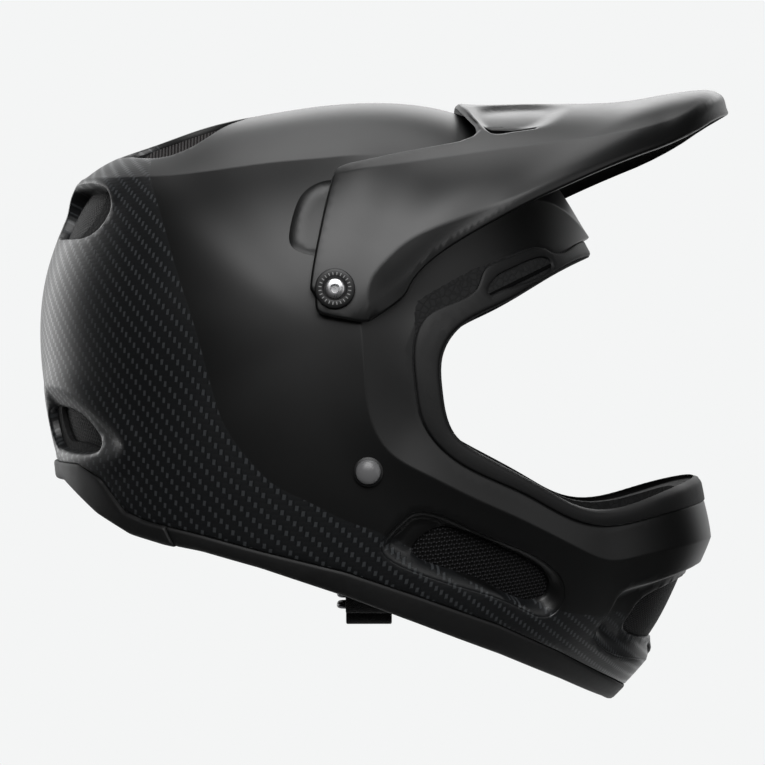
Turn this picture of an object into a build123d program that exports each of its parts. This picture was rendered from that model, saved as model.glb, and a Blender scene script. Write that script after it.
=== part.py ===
from build123d import *
import math
import os

# Full face helmet for downhill riding, in millimetres.
# +X points forward, +Z up, and the origin is the centre of the wearer's head.

# Outer form
shell_length = 333.0
shell_height = 295.0
shell_half_width = 116.0
shell_wall = 2.6
band_rise = 1.8
trim_rise = 1.2
overrun = 40.0

# Linings
seat_gap = 0.3
liner_thick = 24.0
chin_liner_thick = 15.0
cheek_pad_thick = 21.0
comfort_pad_thick = 7.0
edge_trim_thick = 14.0
edge_trim_lip = 0.8

# Visor
visor_half_width = 122.8
visor_wall = 2.6
hood_slot_length = 27.0
hood_slot_width = 5.0
visor_arch_centre = 14.0
visor_arch_spread = 26.0

# Visor fasteners
visor_screw_radius = 4.6
visor_screw_head = 2.2
visor_bush_radius = 5.6
visor_washer_radius = 9.3
visor_washer_thick = 2.0
visor_insert_radius = 6.5
visor_insert_depth = 6.0
visor_insert_sink = 0.8
running_gap = 0.3
socket_radius = 2.0
screw_shank_radius = 2.5
screw_gap = 0.1
rivet_ring_rise = 1.7
rivet_shank_length = 5.0
rivet_plate_thick = 0.8

# Strap
strap_width = 22.5
strap_thick = 1.6
rivet_radius = 5.8
rivet_dome = 2.6
rivet_ring_radius = 6.7
rivet_ring_thick = 0.8
rivet_shank_radius = 2.5
ring_wire = 3.2
ring_inner_width = 25.0
ring_reach = 19.0
ring_clear = 1.3
strap_slot = 8.0
slot_head = 3.0
strap_swing = 8.0
swing_margin = 1.0
bumper_rise = 1.6
bumper_thick = 17.0
strap_side_gap = 2.2
strap_top = 11.0
anchor_inset = 6.2
strap_rise = 11.0
lower_run = -118.9
jaw_depth = 60.0
bend_radius = 5.0
rivet_plate_radius = 8.0
ring_bar_depth = 37.0
ring_drop = 5.9
ring_stagger = 5.5
ring_step = 5.0
ring_corner = 4.0
ring_bow_rise = 1.4
slack_level = -140.7
tail_reach = 26.0
thread_radius = 1.4
snap_depth = 18.0
snap_radius = 6.0
snap_stud_radius = 2.0
snap_cap = 1.6
sleeve_thick = 6.5
sleeve_width = 28.0
sleeve_gap = 0.8

# Pads
snap_seat = 4.0
pad_snap_radius = 5.5
slip_pad_thick = 2.4
slip_pad_radius = 13.0
crown_pad_floor = 45.0
crown_pad_length = 150.0
crown_pad_width = 118.0
crown_pad_corner = 34.0
channel_pitch = 31.0
channel_length = 92.0
channel_width = 9.0
neck_roll_thick = 13.0
guard_thick = 8.0
chin_joint_top = -45.0

# Vents
vent_depth = 4.0
vent_frame_thick = 2.4
mesh_thick = 0.8
mesh_pitch = 5.0
mesh_bar = 1.4
grille_depth = 1.2
rear_vent_reach = -60.0
upper_vent_width = 118.0
upper_vent_height = 24.0
upper_vent_level = 60.0
crown_vent_floor = 60.0
frame_lip = 0.6
frame_rim = 1.8
chin_net_columns = 16
chin_net_rows = 6
chin_net_tilt = 24.0
front_net_columns = 14
front_net_rows = 6
rear_net_depth = 5.0
upper_net_columns = 22
upper_net_rows = 4
crown_insert_depth = 5.0
crown_insert_thick = 2.4
rib_pitch = 6.0
rib_gaps = 5
rib_gap_length = 16.0
rib_gap_width = 3.0
hood_slot_turn = 12.0

# Outlines seen from the side, as shares of the shell's length and height
hull_shares = [
    (0.000, -0.780), (0.150, -0.780), (0.285, -0.729), (0.375, -0.651), (0.450, -0.569),
    (0.498, -0.502), (0.541, -0.407), (0.566, -0.322), (0.553, -0.210), (0.517, -0.068), (0.456, 0.051),
    (0.393, 0.149), (0.357, 0.229), (0.309, 0.298), (0.246, 0.353), (0.165, 0.388), (0.072, 0.399),
    (-0.024, 0.392), (-0.102, 0.378), (-0.180, 0.359), (-0.258, 0.329), (-0.336, 0.290),
    (-0.375, 0.241), (-0.402, 0.180), (-0.423, 0.108), (-0.432, 0.024), (-0.429, -0.051),
    (-0.420, -0.119), (-0.408, -0.197), (-0.399, -0.298), (-0.372, -0.441), (-0.300, -0.593),
    (-0.165, -0.722),
]
visor_hull_shares = [
    (0.000, -0.475), (0.180, -0.475), (0.330, -0.407), (0.450, -0.271), (0.541, -0.068), (0.595, 0.136),
    (0.619, 0.288), (0.599, 0.383), (0.560, 0.411), (0.456, 0.405), (0.375, 0.398), (0.285, 0.397),
    (0.186, 0.399), (0.090, 0.423), (-0.024, 0.422), (-0.150, 0.396), (-0.285, 0.342), (-0.390, 0.237),
    (-0.438, 0.102), (-0.450, -0.034), (-0.420, -0.203), (-0.330, -0.356), (-0.180, -0.441),
]
lower_line_shares = [
    (-0.480, -0.195), (-0.357, -0.203), (-0.326, -0.226), (-0.287, -0.280), (-0.256, -0.294),
    (-0.178, -0.314), (-0.093, -0.339), (0.026, -0.372), (0.132, -0.413), (0.245, -0.460),
    (0.333, -0.508), (0.421, -0.564), (0.520, -0.645),
]
bottom_line_shares = [
    (-0.480, -0.231), (-0.384, -0.234), (-0.330, -0.285), (-0.279, -0.317), (-0.229, -0.333),
    (-0.178, -0.343), (-0.093, -0.369), (0.026, -0.414), (0.132, -0.460), (0.246, -0.511),
    (0.335, -0.556), (0.399, -0.593), (0.520, -0.685),
]
bumper_seam_shares = [(-0.250, -0.270), (-0.228, -0.300), (-0.208, -0.345), (-0.195, -0.380)]
band_shares = [
    (0.410, 0.150), (0.336, 0.210), (0.252, 0.217), (0.180, 0.190), (0.108, 0.146), (0.066, 0.108),
    (0.050, 0.066), (0.050, -0.005), (0.054, -0.063), (0.063, -0.131), (0.086, -0.177), (0.144, -0.218),
    (0.197, -0.248), (0.269, -0.285), (0.365, -0.340), (0.399, -0.355), (0.441, -0.351), (0.489, -0.341),
    (0.590, -0.322),
]
trim_shares = [
    (0.410, 0.180), (0.386, 0.172), (0.333, 0.142), (0.310, 0.150), (0.230, 0.117), (0.208, 0.072),
    (0.140, 0.030), (0.125, -0.010), (0.126, -0.074), (0.136, -0.134), (0.179, -0.194),
    (0.283, -0.253), (0.364, -0.299), (0.402, -0.306), (0.471, -0.294), (0.590, -0.268),
]
eye_shares = [
    (0.420, 0.150), (0.393, 0.142), (0.303, 0.088), (0.244, 0.051), (0.187, 0.014), (0.164, -0.027),
    (0.163, -0.084), (0.180, -0.153), (0.226, -0.192), (0.313, -0.245), (0.368, -0.277),
    (0.398, -0.283), (0.429, -0.280), (0.487, -0.260), (0.600, -0.222),
]
chin_recess_shares = [
    (0.077, -0.333), (0.101, -0.296), (0.122, -0.278), (0.147, -0.278), (0.205, -0.305),
    (0.270, -0.335), (0.314, -0.363), (0.335, -0.393), (0.334, -0.430), (0.317, -0.448),
    (0.271, -0.432), (0.198, -0.401), (0.126, -0.374),
]
chin_hole_shares = [
    (0.122, -0.345), (0.144, -0.316), (0.165, -0.307), (0.187, -0.309), (0.270, -0.351),
    (0.307, -0.376), (0.322, -0.401), (0.318, -0.425), (0.305, -0.432), (0.234, -0.404),
    (0.162, -0.374),
]
front_recess_shares = [
    (0.640, -0.355), (0.556, -0.372), (0.458, -0.399), (0.420, -0.414), (0.402, -0.447),
    (0.384, -0.485), (0.392, -0.500), (0.450, -0.530), (0.511, -0.548), (0.600, -0.570),
]
front_hole_shares = [
    (0.640, -0.385), (0.547, -0.403), (0.492, -0.423), (0.462, -0.441), (0.445, -0.467),
    (0.438, -0.484), (0.450, -0.499), (0.478, -0.510), (0.517, -0.519), (0.600, -0.540),
]
visor_outline_shares = [
    (-0.026, 0.072), (0.007, 0.261), (0.022, 0.274), (0.054, 0.280), (0.104, 0.295), (0.235, 0.326),
    (0.186, 0.396), (0.186, 0.458), (0.640, 0.458), (0.640, 0.400), (0.589, 0.380), (0.519, 0.327),
    (0.417, 0.283), (0.332, 0.239), (0.284, 0.214), (0.222, 0.176), (0.171, 0.141), (0.137, 0.110),
    (0.120, 0.085), (0.113, 0.063), (0.066, 0.026), (0.054, 0.021), (-0.007, 0.034), (-0.015, 0.042),
]
cheek_shares = [
    (-0.120, -0.100), (0.010, -0.085), (0.090, -0.130), (0.150, -0.200), (0.210, -0.262),
    (0.226, -0.322), (0.180, -0.375), (0.060, -0.345), (-0.060, -0.300), (-0.135, -0.255),
]
brow_slot_shares = [
    (0.226, 0.080), (0.245, 0.104), (0.309, 0.138), (0.330, 0.130), (0.330, 0.118), (0.244, 0.068),
]
rear_lower_shares = [(0.380, -0.112), (0.569, -0.114), (0.655, -0.136), (0.690, -0.163), (0.672, -0.176),
                     (0.517, -0.170), (0.388, -0.160)]
crown_vent_shares = [(-0.110, 0.240), (-0.150, 0.500), (-0.198, 0.590), (-0.262, 0.520), (-0.306, 0.370),
                     (-0.300, 0.150), (-0.140, 0.130)]

# Depth stations across the head, as shares of the half width
station_shares = [0.0, 0.25, 0.5, 0.7, 0.85, 0.94, 0.98, 0.996]

chin_net_shares = (0.225, -0.372)
front_net_level_share = -0.462
crown_rib_share = (-0.205, 0.340)
hood_slot_share = (0.268, 0.400)
sleeve_shares = (0.05, 0.78)
sleeve_room_shares = (-0.10, 0.92)
cheek_depth_shares = [0.40, 0.56, 0.86]
cheek_crown_shares = [0.74, 0.95, 1.0]
cheek_snap_shares = [(-0.060, -0.170), (0.040, -0.200), (-0.010, -0.285)]
slip_pad_shares = [(0.140, 0.240), (0.140, -0.240), (-0.080, 0.240), (-0.080, -0.240)]
crown_pad_share = 0.010
brow_pad_shares = [(0.170, 0.030), (0.215, 0.062), (0.310, 0.122), (0.420, 0.180), (0.420, 0.235), (0.150, 0.130)]
rear_pad_shares = [(-0.200, -0.030), (-0.450, -0.030), (-0.450, -0.165), (-0.200, -0.165)]
neck_roll_shares = [(-0.450, -0.190), (-0.345, -0.200), (-0.315, -0.225), (-0.278, -0.265), (-0.178, -0.292),
                    (-0.178, -0.225), (-0.220, -0.200), (-0.450, -0.170)]
guard_shares = [(0.330, -0.330), (0.600, -0.330), (0.600, -0.510), (0.450, -0.510), (0.330, -0.460)]
chin_joint_share = 0.144
strap_bend = 0.724
visor_pivot_shares = (0.013, 0.075)
rivet_shares = (0.059, -0.213)

hull_power = 2.25
visor_front_power = 1.8


def spot(share):
    """A place in the side view, from its shares of the shell's length and height."""
    return share[0] * shell_length, share[1] * shell_height


def places(shares):
    """Every place of a side view outline."""
    return [spot(share) for share in shares]


def visor_power(angle):
    """The visor is an ellipse over the ears and turns to a gabled arch towards the peak."""
    turned = angle - math.radians(visor_arch_centre)
    away = math.atan2(math.sin(turned), math.cos(turned)) / math.radians(visor_arch_spread)
    return hull_power - (hull_power - visor_front_power) * math.exp(-away ** 4)


def dome(ring_shares, half_width, inset, power):
    """A rounded body whose section shrinks from the middle plane towards each ear.

    At the depth y each point of the outline is drawn in by (1 - (y / half width) ** n) ** (1 / n).
    """
    depths = [-share for share in reversed(station_shares[1:])] + station_shares
    with BuildPart() as body:
        for depth in depths:
            with BuildSketch(Plane.XZ.offset(depth * (half_width - inset))):
                with BuildLine():
                    ring = []
                    for x, z in places(ring_shares):
                        reach = math.hypot(x, z)
                        n = power(math.atan2(z, x))
                        drawn_in = (1 - abs(depth) ** n) ** (1 / n) * (reach - inset) / reach
                        ring.append((x * drawn_in, z * drawn_in))
                    Spline(*ring, periodic=True)
                make_face()
        loft()
    return body.part


def hull(inset):
    """The helmet's outer form, drawn in by an inset."""
    return dome(hull_shares, shell_half_width, inset, lambda angle: hull_power)


def visor_hull(inset):
    """The form that the visor is cut from, drawn in by an inset."""
    return dome(visor_hull_shares, visor_half_width, inset, visor_power)


def half_width_at(x, z, inset):
    """Depth of the hull's surface at a place in the side view, by bisection of the dome's formula."""
    reach = math.hypot(x, z)
    ring = [(math.atan2(b, a), math.hypot(a, b)) for a, b in places(hull_shares)]
    ring = sorted(ring)
    turn = math.atan2(z, x)
    ring = [(ring[-1][0] - 2 * math.pi, ring[-1][1])] + ring + [(ring[0][0] + 2 * math.pi, ring[0][1])]
    for (a0, r0), (a1, r1) in zip(ring, ring[1:]):
        if a0 <= turn <= a1:
            edge = r0 + (r1 - r0) * (turn - a0) / (a1 - a0) - inset
    share = min(reach / edge, 1)
    return (shell_half_width - inset) * (1 - share ** hull_power) ** (1 / hull_power)


def prism(points, depth):
    """A straight sided body along Y over an outline in the side view."""
    with BuildPart() as body:
        with BuildSketch(Plane.XZ):
            with BuildLine():
                Polyline(*points, close=True)
            make_face()
        extrude(amount=depth, both=True)
    return body.part


def drawn_in(points, gap):
    """An outline whose points are moved inwards by a gap, square to their neighbours."""
    ahead = points[1:] + points[:1]
    turning = sum(x0 * z1 - x1 * z0 for (x0, z0), (x1, z1) in zip(points, ahead))
    inward = math.copysign(gap, turning)
    moved = []
    for (x0, z0), (x, z), (x1, z1) in zip(points[-1:] + points[:-1], points, ahead):
        span = math.hypot(x1 - x0, z1 - z0)
        moved.append((x - inward * (z1 - z0) / span, z + inward * (x1 - x0) / span))
    return moved


def curved_prism(curve, closing, depth):
    """The same over an outline whose visible edge is one smooth curve."""
    with BuildPart() as body:
        with BuildSketch(Plane.XZ):
            with BuildLine():
                Spline(*curve)
                Polyline(curve[-1], *closing, curve[0])
            make_face()
        extrude(amount=depth, both=True)
    return body.part


def loop_prism(points, depth):
    """The same over an outline that is one closed smooth curve."""
    with BuildPart() as body:
        with BuildSketch(Plane.XZ):
            with BuildLine():
                Spline(*points, periodic=True)
            make_face()
        extrude(amount=depth, both=True)
    return body.part


def face_side(shares, gap=0):
    """The space in front of an edge of the face opening."""
    curve = drawn_in(places(shares), gap)
    far = shell_length
    return curved_prism(curve, [(far, curve[-1][1]), (far, curve[0][1])], full_depth)


def below(shares, drop):
    """The space below an edge line that runs from back to front, moved down by a drop."""
    line = [(x, z - drop) for x, z in places(shares)]
    floor = -shell_height
    return prism(line + [(line[-1][0], floor), (line[0][0], floor)], full_depth)


def side(body, right):
    """The right or the left half of a body."""
    with BuildPart() as half:
        add(body)
        split(bisect_by=Plane.XZ, keep=Keep.TOP if right else Keep.BOTTOM)
    return half.part


def write(part, label):
    """Names a finished piece and writes it."""
    part.label = label
    export_step(part, f"parts/{label}.step")


full_depth = shell_half_width + overrun
liner_outer = shell_wall + seat_gap
liner_inner = liner_outer + liner_thick
chin_liner_inner = liner_outer + chin_liner_thick
pad_outer = liner_inner + seat_gap
vent_frame_inner = vent_depth + vent_frame_thick
mesh_outer = vent_frame_inner + seat_gap
mesh_inner = mesh_outer + mesh_thick
sides = {"right": -1, "left": 1}
pivot_x, pivot_z = spot(visor_pivot_shares)
rivet_x, rivet_z = spot(rivet_shares)
pivot_depth = half_width_at(pivot_x, pivot_z, 0)
rivet_depth = half_width_at(rivet_x, rivet_z, 0)

os.makedirs("parts", exist_ok=True)

# Cutting bodies shared by several pieces
under_shell = below(lower_line_shares, 0)
under_trim = below(bottom_line_shares, 0)
trim_front = face_side(trim_shares)
eye_front = face_side(eye_shares)
band_front = face_side(band_shares)
chin_recess = loop_prism(places(chin_recess_shares), full_depth)
chin_hole = loop_prism(places(chin_hole_shares), full_depth)


front_recess = curved_prism(places(front_recess_shares), [], full_depth)
front_hole = curved_prism(places(front_hole_shares), [], full_depth)


def lofted_side(depths, outlines):
    """A body between closed smooth outlines that stand at several depths on one side."""
    with BuildPart() as body:
        for depth, outline in zip(depths, outlines):
            with BuildSketch(Plane.XZ.offset(depth)):
                with BuildLine():
                    Spline(*outline, periodic=True)
                make_face()
        loft()
    return body.part


def shrunk(points, factor):
    """An outline drawn in towards its own middle."""
    middle_x = sum(x for x, z in points) / len(points)
    middle_z = sum(z for x, z in points) / len(points)
    return [(middle_x + (x - middle_x) * factor, middle_z + (z - middle_z) * factor) for x, z in points]


def behind_slot(width, height, level):
    """A slot through the back of the helmet, seen from behind."""
    with BuildPart() as body:
        with BuildSketch(Plane.YZ.offset(-shell_length)):
            with Locations((0, level)):
                SlotOverall(width, height)
        extrude(amount=shell_length + rear_vent_reach)
    return body.part


def behind_opening(shares, hand, gap=0):
    """A rounded opening at one side of the back, seen from behind."""
    outline = drawn_in([(hand * y * shell_half_width, z * shell_height) for y, z in shares], gap)
    with BuildPart() as body:
        with BuildSketch(Plane.YZ.offset(-shell_length)):
            with BuildLine():
                Spline(*outline, periodic=True)
            make_face()
        extrude(amount=shell_length + rear_vent_reach)
    return body.part


def crown_opening(shares, hand, gap=0):
    """A rounded opening at one side of the crown, seen from above."""
    outline = drawn_in([(x * shell_length, hand * y * shell_half_width) for x, y in shares], gap)
    with BuildPart() as body:
        with BuildSketch(Plane.XY.offset(crown_vent_floor)):
            with BuildLine():
                Spline(*outline, periodic=True)
            make_face()
        extrude(amount=shell_height)
    return body.part


def net(body, middle, columns, rows, tilt):
    """Square gaps in rows through a sheet, seen from the side."""
    with BuildPart() as holed:
        add(body)
        with BuildSketch(Plane.XZ.offset(-full_depth)):
            with Locations(Location(middle, tilt)):
                with GridLocations(mesh_pitch, mesh_pitch, columns, rows):
                    Rectangle(mesh_pitch - mesh_bar, mesh_pitch - mesh_bar)
        extrude(amount=2 * full_depth, mode=Mode.SUBTRACT)
    return holed.part


# Bodies that several pieces are cut from
outer_form = hull(0)
inside_shell = hull(shell_wall)
liner_form = hull(liner_outer)
upper_vent = behind_slot(upper_vent_width, upper_vent_height, upper_vent_level)
rear_openings = [behind_opening(rear_lower_shares, hand) for hand in sides.values()]
crown_openings = [crown_opening(crown_vent_shares, hand) for hand in sides.values()]

# The raised frame of the shell round the face opening
with BuildPart() as raised_band:
    add(hull(-band_rise))
    add(band_front, mode=Mode.INTERSECT)
    add(trim_front, mode=Mode.SUBTRACT)

# Outer shell
with BuildPart() as outer_shell:
    add(outer_form)
    add(band_front, mode=Mode.SUBTRACT)
    add(raised_band.part)
    add(inside_shell, mode=Mode.SUBTRACT)
    add(under_shell, mode=Mode.SUBTRACT)
    add(upper_vent, mode=Mode.SUBTRACT)
    add(rear_openings, mode=Mode.SUBTRACT)
    add(crown_openings, mode=Mode.SUBTRACT)
    add(chin_recess, mode=Mode.SUBTRACT)
    add(front_recess, mode=Mode.SUBTRACT)
    with BuildSketch(Plane.XZ.offset(-full_depth)):
        with Locations((pivot_x, pivot_z)):
            Circle(visor_bush_radius + seat_gap)
        with Locations((rivet_x, rivet_z)):
            Circle(rivet_shank_radius + seat_gap)
    extrude(amount=2 * full_depth, mode=Mode.SUBTRACT)
write(outer_shell.part, "outer_shell")

# Trim round the face opening, with a vent slot at each side of the brow
with BuildPart() as eyeport_trim:
    add(hull(-trim_rise))
    add(face_side(trim_shares, seat_gap), mode=Mode.INTERSECT)
    add(eye_front, mode=Mode.SUBTRACT)
    add(inside_shell, mode=Mode.SUBTRACT)
    add(prism(places(brow_slot_shares), full_depth), mode=Mode.SUBTRACT)
write(eyeport_trim.part, "eyeport_trim")

# Grilles in the brow slots
for name, hand in sides.items():
    with BuildPart() as brow_grille:
        add(hull(grille_depth))
        add(inside_shell, mode=Mode.SUBTRACT)
        with BuildSketch(Plane.XZ):
            with BuildLine():
                Polyline(*places(brow_slot_shares), close=True)
            make_face()
            offset(amount=-seat_gap, kind=Kind.INTERSECTION)
        extrude(amount=-hand * full_depth, mode=Mode.INTERSECT)
    write(brow_grille.part, f"brow_grille_{name}")

# Trim along the lower edge, in front of the rear bumper
behind_seam = prism(places(bumper_seam_shares) + [(-shell_length, -shell_height), (-shell_length, shell_height)],
                    full_depth)
with BuildPart() as edge_ring:
    add(below(lower_line_shares, seat_gap))
    add(under_trim, mode=Mode.SUBTRACT)
with BuildPart() as lower_edge_trim:
    add(hull(-edge_trim_lip))
    add(edge_ring.part, mode=Mode.INTERSECT)
    add(behind_seam, mode=Mode.SUBTRACT)
    add(hull(edge_trim_thick), mode=Mode.SUBTRACT)
write(lower_edge_trim.part, "lower_edge_trim")

# Rear bumper at the nape
with BuildPart() as rear_bumper:
    add(hull(-bumper_rise))
    add(edge_ring.part, mode=Mode.INTERSECT)
    with BuildSketch(Plane.XZ):
        with BuildLine():
            Polyline(*places(bumper_seam_shares), (-shell_length, -shell_height), (-shell_length, shell_height),
                     close=True)
        make_face()
        offset(amount=-seat_gap, kind=Kind.INTERSECTION)
    extrude(amount=full_depth, both=True, mode=Mode.INTERSECT)
    add(hull(bumper_thick), mode=Mode.SUBTRACT)
write(rear_bumper.part, "rear_bumper")

# Where the chin bar's liner starts, and the fan that the strap swings in
strap_half = strap_width / 2
swing = math.radians(strap_swing + swing_margin)
fan_drop = shell_height / 3
fan_half = strap_half + strap_side_gap
fan_foot = fan_half / math.cos(swing) + fan_drop * math.tan(swing)
fan_corners = [(rivet_x + a, rivet_z + b) for a, b in (
    (-fan_half, strap_top + slot_head), (fan_half, strap_top + slot_head), (fan_half, 0), (fan_foot, -fan_drop),
    (-fan_foot, -fan_drop), (-fan_half, 0))]
strap_run = [(rivet_depth - anchor_inset, rivet_z + strap_top), (rivet_depth - anchor_inset, rivet_z - strap_top),
             (strap_bend * shell_half_width, lower_run + strap_rise)]
slot_run = [(strap_run[0][0], strap_run[0][1] + slot_head)] + strap_run[1:]
sleeve_room_half = sleeve_width / 2 + sleeve_gap
sleeve_room_foot = sleeve_room_half / math.cos(swing) + fan_drop * math.tan(swing)
sleeve_room_thick = sleeve_thick + sleeve_width * math.sin(swing) + 2 * sleeve_gap
sleeve_fan = [(rivet_x - sleeve_room_half, rivet_z), (rivet_x + sleeve_room_half, rivet_z),
              (rivet_x + sleeve_room_foot, rivet_z - fan_drop), (rivet_x - sleeve_room_foot, rivet_z - fan_drop)]


def round_stack(x, z, hand, start, steps):
    """Discs along Y at one place, each with its radius and length, outwards from a start."""
    with BuildPart() as stack:
        reached = start
        for radius, length in steps:
            with BuildSketch(Plane.XZ.offset(-hand * reached)):
                with Locations((x, z)):
                    Circle(radius)
            extrude(amount=-hand * length)
            reached += length
    return stack.part


def strap_line(points, hand, thick, width, bends):
    """A flat band of even thickness along a path seen from the front, across the strap's width."""
    with BuildPart() as band:
        with BuildSketch(Plane.YZ.offset(rivet_x)):
            with BuildLine():
                FilletPolyline(*[(hand * y, z) for y, z in points], radius=bends)
            trace(line_width=thick)
        extrude(amount=width / 2, both=True)
    return band.part


def jaw_band(shares, hand, thick, width):
    """A flat block of even thickness along the strap's slanting run beside the jaw, between two shares of it."""
    run_y = strap_run[2][0] - jaw_depth
    run_z = strap_run[2][1] - lower_run
    ends = [(hand * (jaw_depth + run_y * share), lower_run + run_z * share) for share in shares]
    with BuildPart() as block:
        with BuildSketch(Plane.YZ.offset(rivet_x)):
            with BuildLine():
                Line(*ends)
            trace(line_width=thick)
        extrude(amount=width / 2, both=True)
    return block.part


# Seats of the snaps that hold the cheek pads
snap_places = [spot(share) for share in cheek_snap_shares]
snap_faces = [half_width_at(x, z, liner_inner) - snap_seat for x, z in snap_places]
with BuildPart() as snap_seats:
    for (x, z), face in zip(snap_places, snap_faces):
        for hand in sides.values():
            add(round_stack(x, z, hand, face, [(pad_snap_radius + seat_gap, snap_seat),
                                               (snap_stud_radius + seat_gap, snap_seat)]))

# Impact liner over the skull and cheeks
with BuildPart() as strap_slots:
    for hand in sides.values():
        add(strap_line(slot_run + [(jaw_depth, lower_run)], hand, strap_slot, shell_height, bend_radius))
    add(prism(fan_corners, full_depth), mode=Mode.INTERSECT)
with BuildPart() as sleeve_rooms:
    for hand in sides.values():
        add(jaw_band(sleeve_room_shares, hand, sleeve_room_thick, shell_height))
    add(prism(sleeve_fan, full_depth), mode=Mode.INTERSECT)
with BuildPart() as liner_blank:
    add(liner_form)
    add(under_shell, mode=Mode.SUBTRACT)
    add(eye_front, mode=Mode.SUBTRACT)
    add(upper_vent, mode=Mode.SUBTRACT)
    add(rear_openings, mode=Mode.SUBTRACT)
    add(crown_openings, mode=Mode.SUBTRACT)
    add(chin_recess, mode=Mode.SUBTRACT)
    add(front_recess, mode=Mode.SUBTRACT)
    with BuildSketch(Plane.XZ.offset(-full_depth)):
        with Locations((pivot_x, pivot_z)):
            Circle(visor_insert_radius + seat_gap)
        with Locations((rivet_x, rivet_z)):
            Circle(rivet_plate_radius + seat_gap)
    extrude(amount=2 * full_depth, mode=Mode.SUBTRACT)
joint_x = chin_joint_share * shell_length
chin_zone = prism([(joint_x, chin_joint_top), (shell_length, chin_joint_top), (shell_length, -shell_height),
                   (joint_x, -shell_height)], full_depth)
with BuildPart() as impact_liner:
    add(liner_blank.part)
    add(chin_zone, mode=Mode.SUBTRACT)
    add(hull(liner_inner), mode=Mode.SUBTRACT)
    add(strap_slots.part, mode=Mode.SUBTRACT)
    add(sleeve_rooms.part, mode=Mode.SUBTRACT)
    add(snap_seats.part, mode=Mode.SUBTRACT)
write(impact_liner.part, "impact_liner")

# Impact liner of the chin bar
with BuildPart() as chin_liner:
    add(liner_blank.part)
    add(prism([(joint_x + seat_gap, chin_joint_top - seat_gap), (shell_length, chin_joint_top - seat_gap),
               (shell_length, -shell_height), (joint_x + seat_gap, -shell_height)], full_depth),
        mode=Mode.INTERSECT)
    add(hull(chin_liner_inner), mode=Mode.SUBTRACT)
write(chin_liner.part, "chin_liner")

# Chin side vents: a dished frame in the liner's window, and a net behind it
recess_outline = drawn_in(places(chin_recess_shares), seat_gap)
with BuildPart() as chin_dish:
    add(hull(-overrun / 4))
    add(loop_prism(drawn_in(recess_outline, frame_rim), full_depth), mode=Mode.INTERSECT)
    add(hull(vent_depth), mode=Mode.SUBTRACT)
with BuildPart() as chin_frames:
    add(hull(frame_lip))
    add(loop_prism(recess_outline, full_depth), mode=Mode.INTERSECT)
    add(hull(vent_frame_inner), mode=Mode.SUBTRACT)
    add(chin_dish.part, mode=Mode.SUBTRACT)
    add(chin_hole, mode=Mode.SUBTRACT)
with BuildPart() as chin_nets:
    add(hull(mesh_outer))
    add(loop_prism(recess_outline, full_depth), mode=Mode.INTERSECT)
    add(hull(mesh_inner), mode=Mode.SUBTRACT)
chin_net_middle = spot(chin_net_shares)
for name, hand in sides.items():
    write(side(chin_frames.part, hand < 0), f"chin_vent_frame_{name}")
    write(net(side(chin_nets.part, hand < 0), chin_net_middle, chin_net_columns, chin_net_rows, chin_net_tilt),
          f"chin_vent_net_{name}")

# Chin front vent: one frame and one net that run round the chin
front_outline = drawn_in(places(front_recess_shares), seat_gap)
with BuildPart() as front_dish:
    add(hull(-overrun / 4))
    add(curved_prism(drawn_in(front_outline, frame_rim), [], full_depth), mode=Mode.INTERSECT)
    add(hull(vent_depth), mode=Mode.SUBTRACT)
with BuildPart() as front_vent_frame:
    add(hull(frame_lip))
    add(curved_prism(front_outline, [], full_depth), mode=Mode.INTERSECT)
    add(hull(vent_frame_inner), mode=Mode.SUBTRACT)
    add(front_dish.part, mode=Mode.SUBTRACT)
    add(front_hole, mode=Mode.SUBTRACT)
write(front_vent_frame.part, "front_vent_frame")
with BuildPart() as front_vent_net:
    add(hull(mesh_outer))
    add(curved_prism(front_outline, [], full_depth), mode=Mode.INTERSECT)
    add(hull(mesh_inner), mode=Mode.SUBTRACT)
    with BuildSketch(Plane.YZ.offset(joint_x)):
        with Locations((0, front_net_level_share * shell_height)):
            with GridLocations(mesh_pitch, mesh_pitch, front_net_columns, front_net_rows):
                Rectangle(mesh_pitch - mesh_bar, mesh_pitch - mesh_bar)
    extrude(amount=shell_length, mode=Mode.SUBTRACT)
write(front_vent_net.part, "front_vent_net")

# Nets in the rear vents
with BuildPart() as rear_net_sheet:
    add(hull(rear_net_depth))
    add(hull(rear_net_depth + mesh_thick), mode=Mode.SUBTRACT)
with BuildPart() as rear_upper_net:
    add(rear_net_sheet.part)
    add(behind_slot(upper_vent_width - 2 * seat_gap, upper_vent_height - 2 * seat_gap, upper_vent_level),
        mode=Mode.INTERSECT)
    with BuildSketch(Plane.YZ.offset(-shell_length)):
        with Locations((0, upper_vent_level)):
            with GridLocations(mesh_pitch, mesh_pitch, upper_net_columns, upper_net_rows):
                Rectangle(mesh_pitch - mesh_bar, mesh_pitch - mesh_bar)
    extrude(amount=shell_length, mode=Mode.SUBTRACT)
write(rear_upper_net.part, "rear_upper_net")
for name, hand in sides.items():
    with BuildPart() as rear_lower_net:
        add(rear_net_sheet.part)
        add(behind_opening(rear_lower_shares, hand, seat_gap), mode=Mode.INTERSECT)
    write(rear_lower_net.part, f"rear_lower_net_{name}")

# Ribbed inserts in the crown vents
for name, hand in sides.items():
    with BuildPart() as crown_vent_insert:
        add(hull(crown_insert_depth))
        add(crown_opening(crown_vent_shares, hand, seat_gap), mode=Mode.INTERSECT)
        add(hull(crown_insert_depth + crown_insert_thick), mode=Mode.SUBTRACT)
        with BuildSketch(Plane.XY.offset(crown_vent_floor)):
            with Locations((crown_rib_share[0] * shell_length, hand * crown_rib_share[1] * shell_half_width)):
                with GridLocations(rib_pitch, 1, rib_gaps, 1):
                    SlotOverall(rib_gap_length, rib_gap_width, rotation=90)
        extrude(amount=shell_height, mode=Mode.SUBTRACT)
    write(crown_vent_insert.part, f"crown_vent_insert_{name}")

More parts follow.
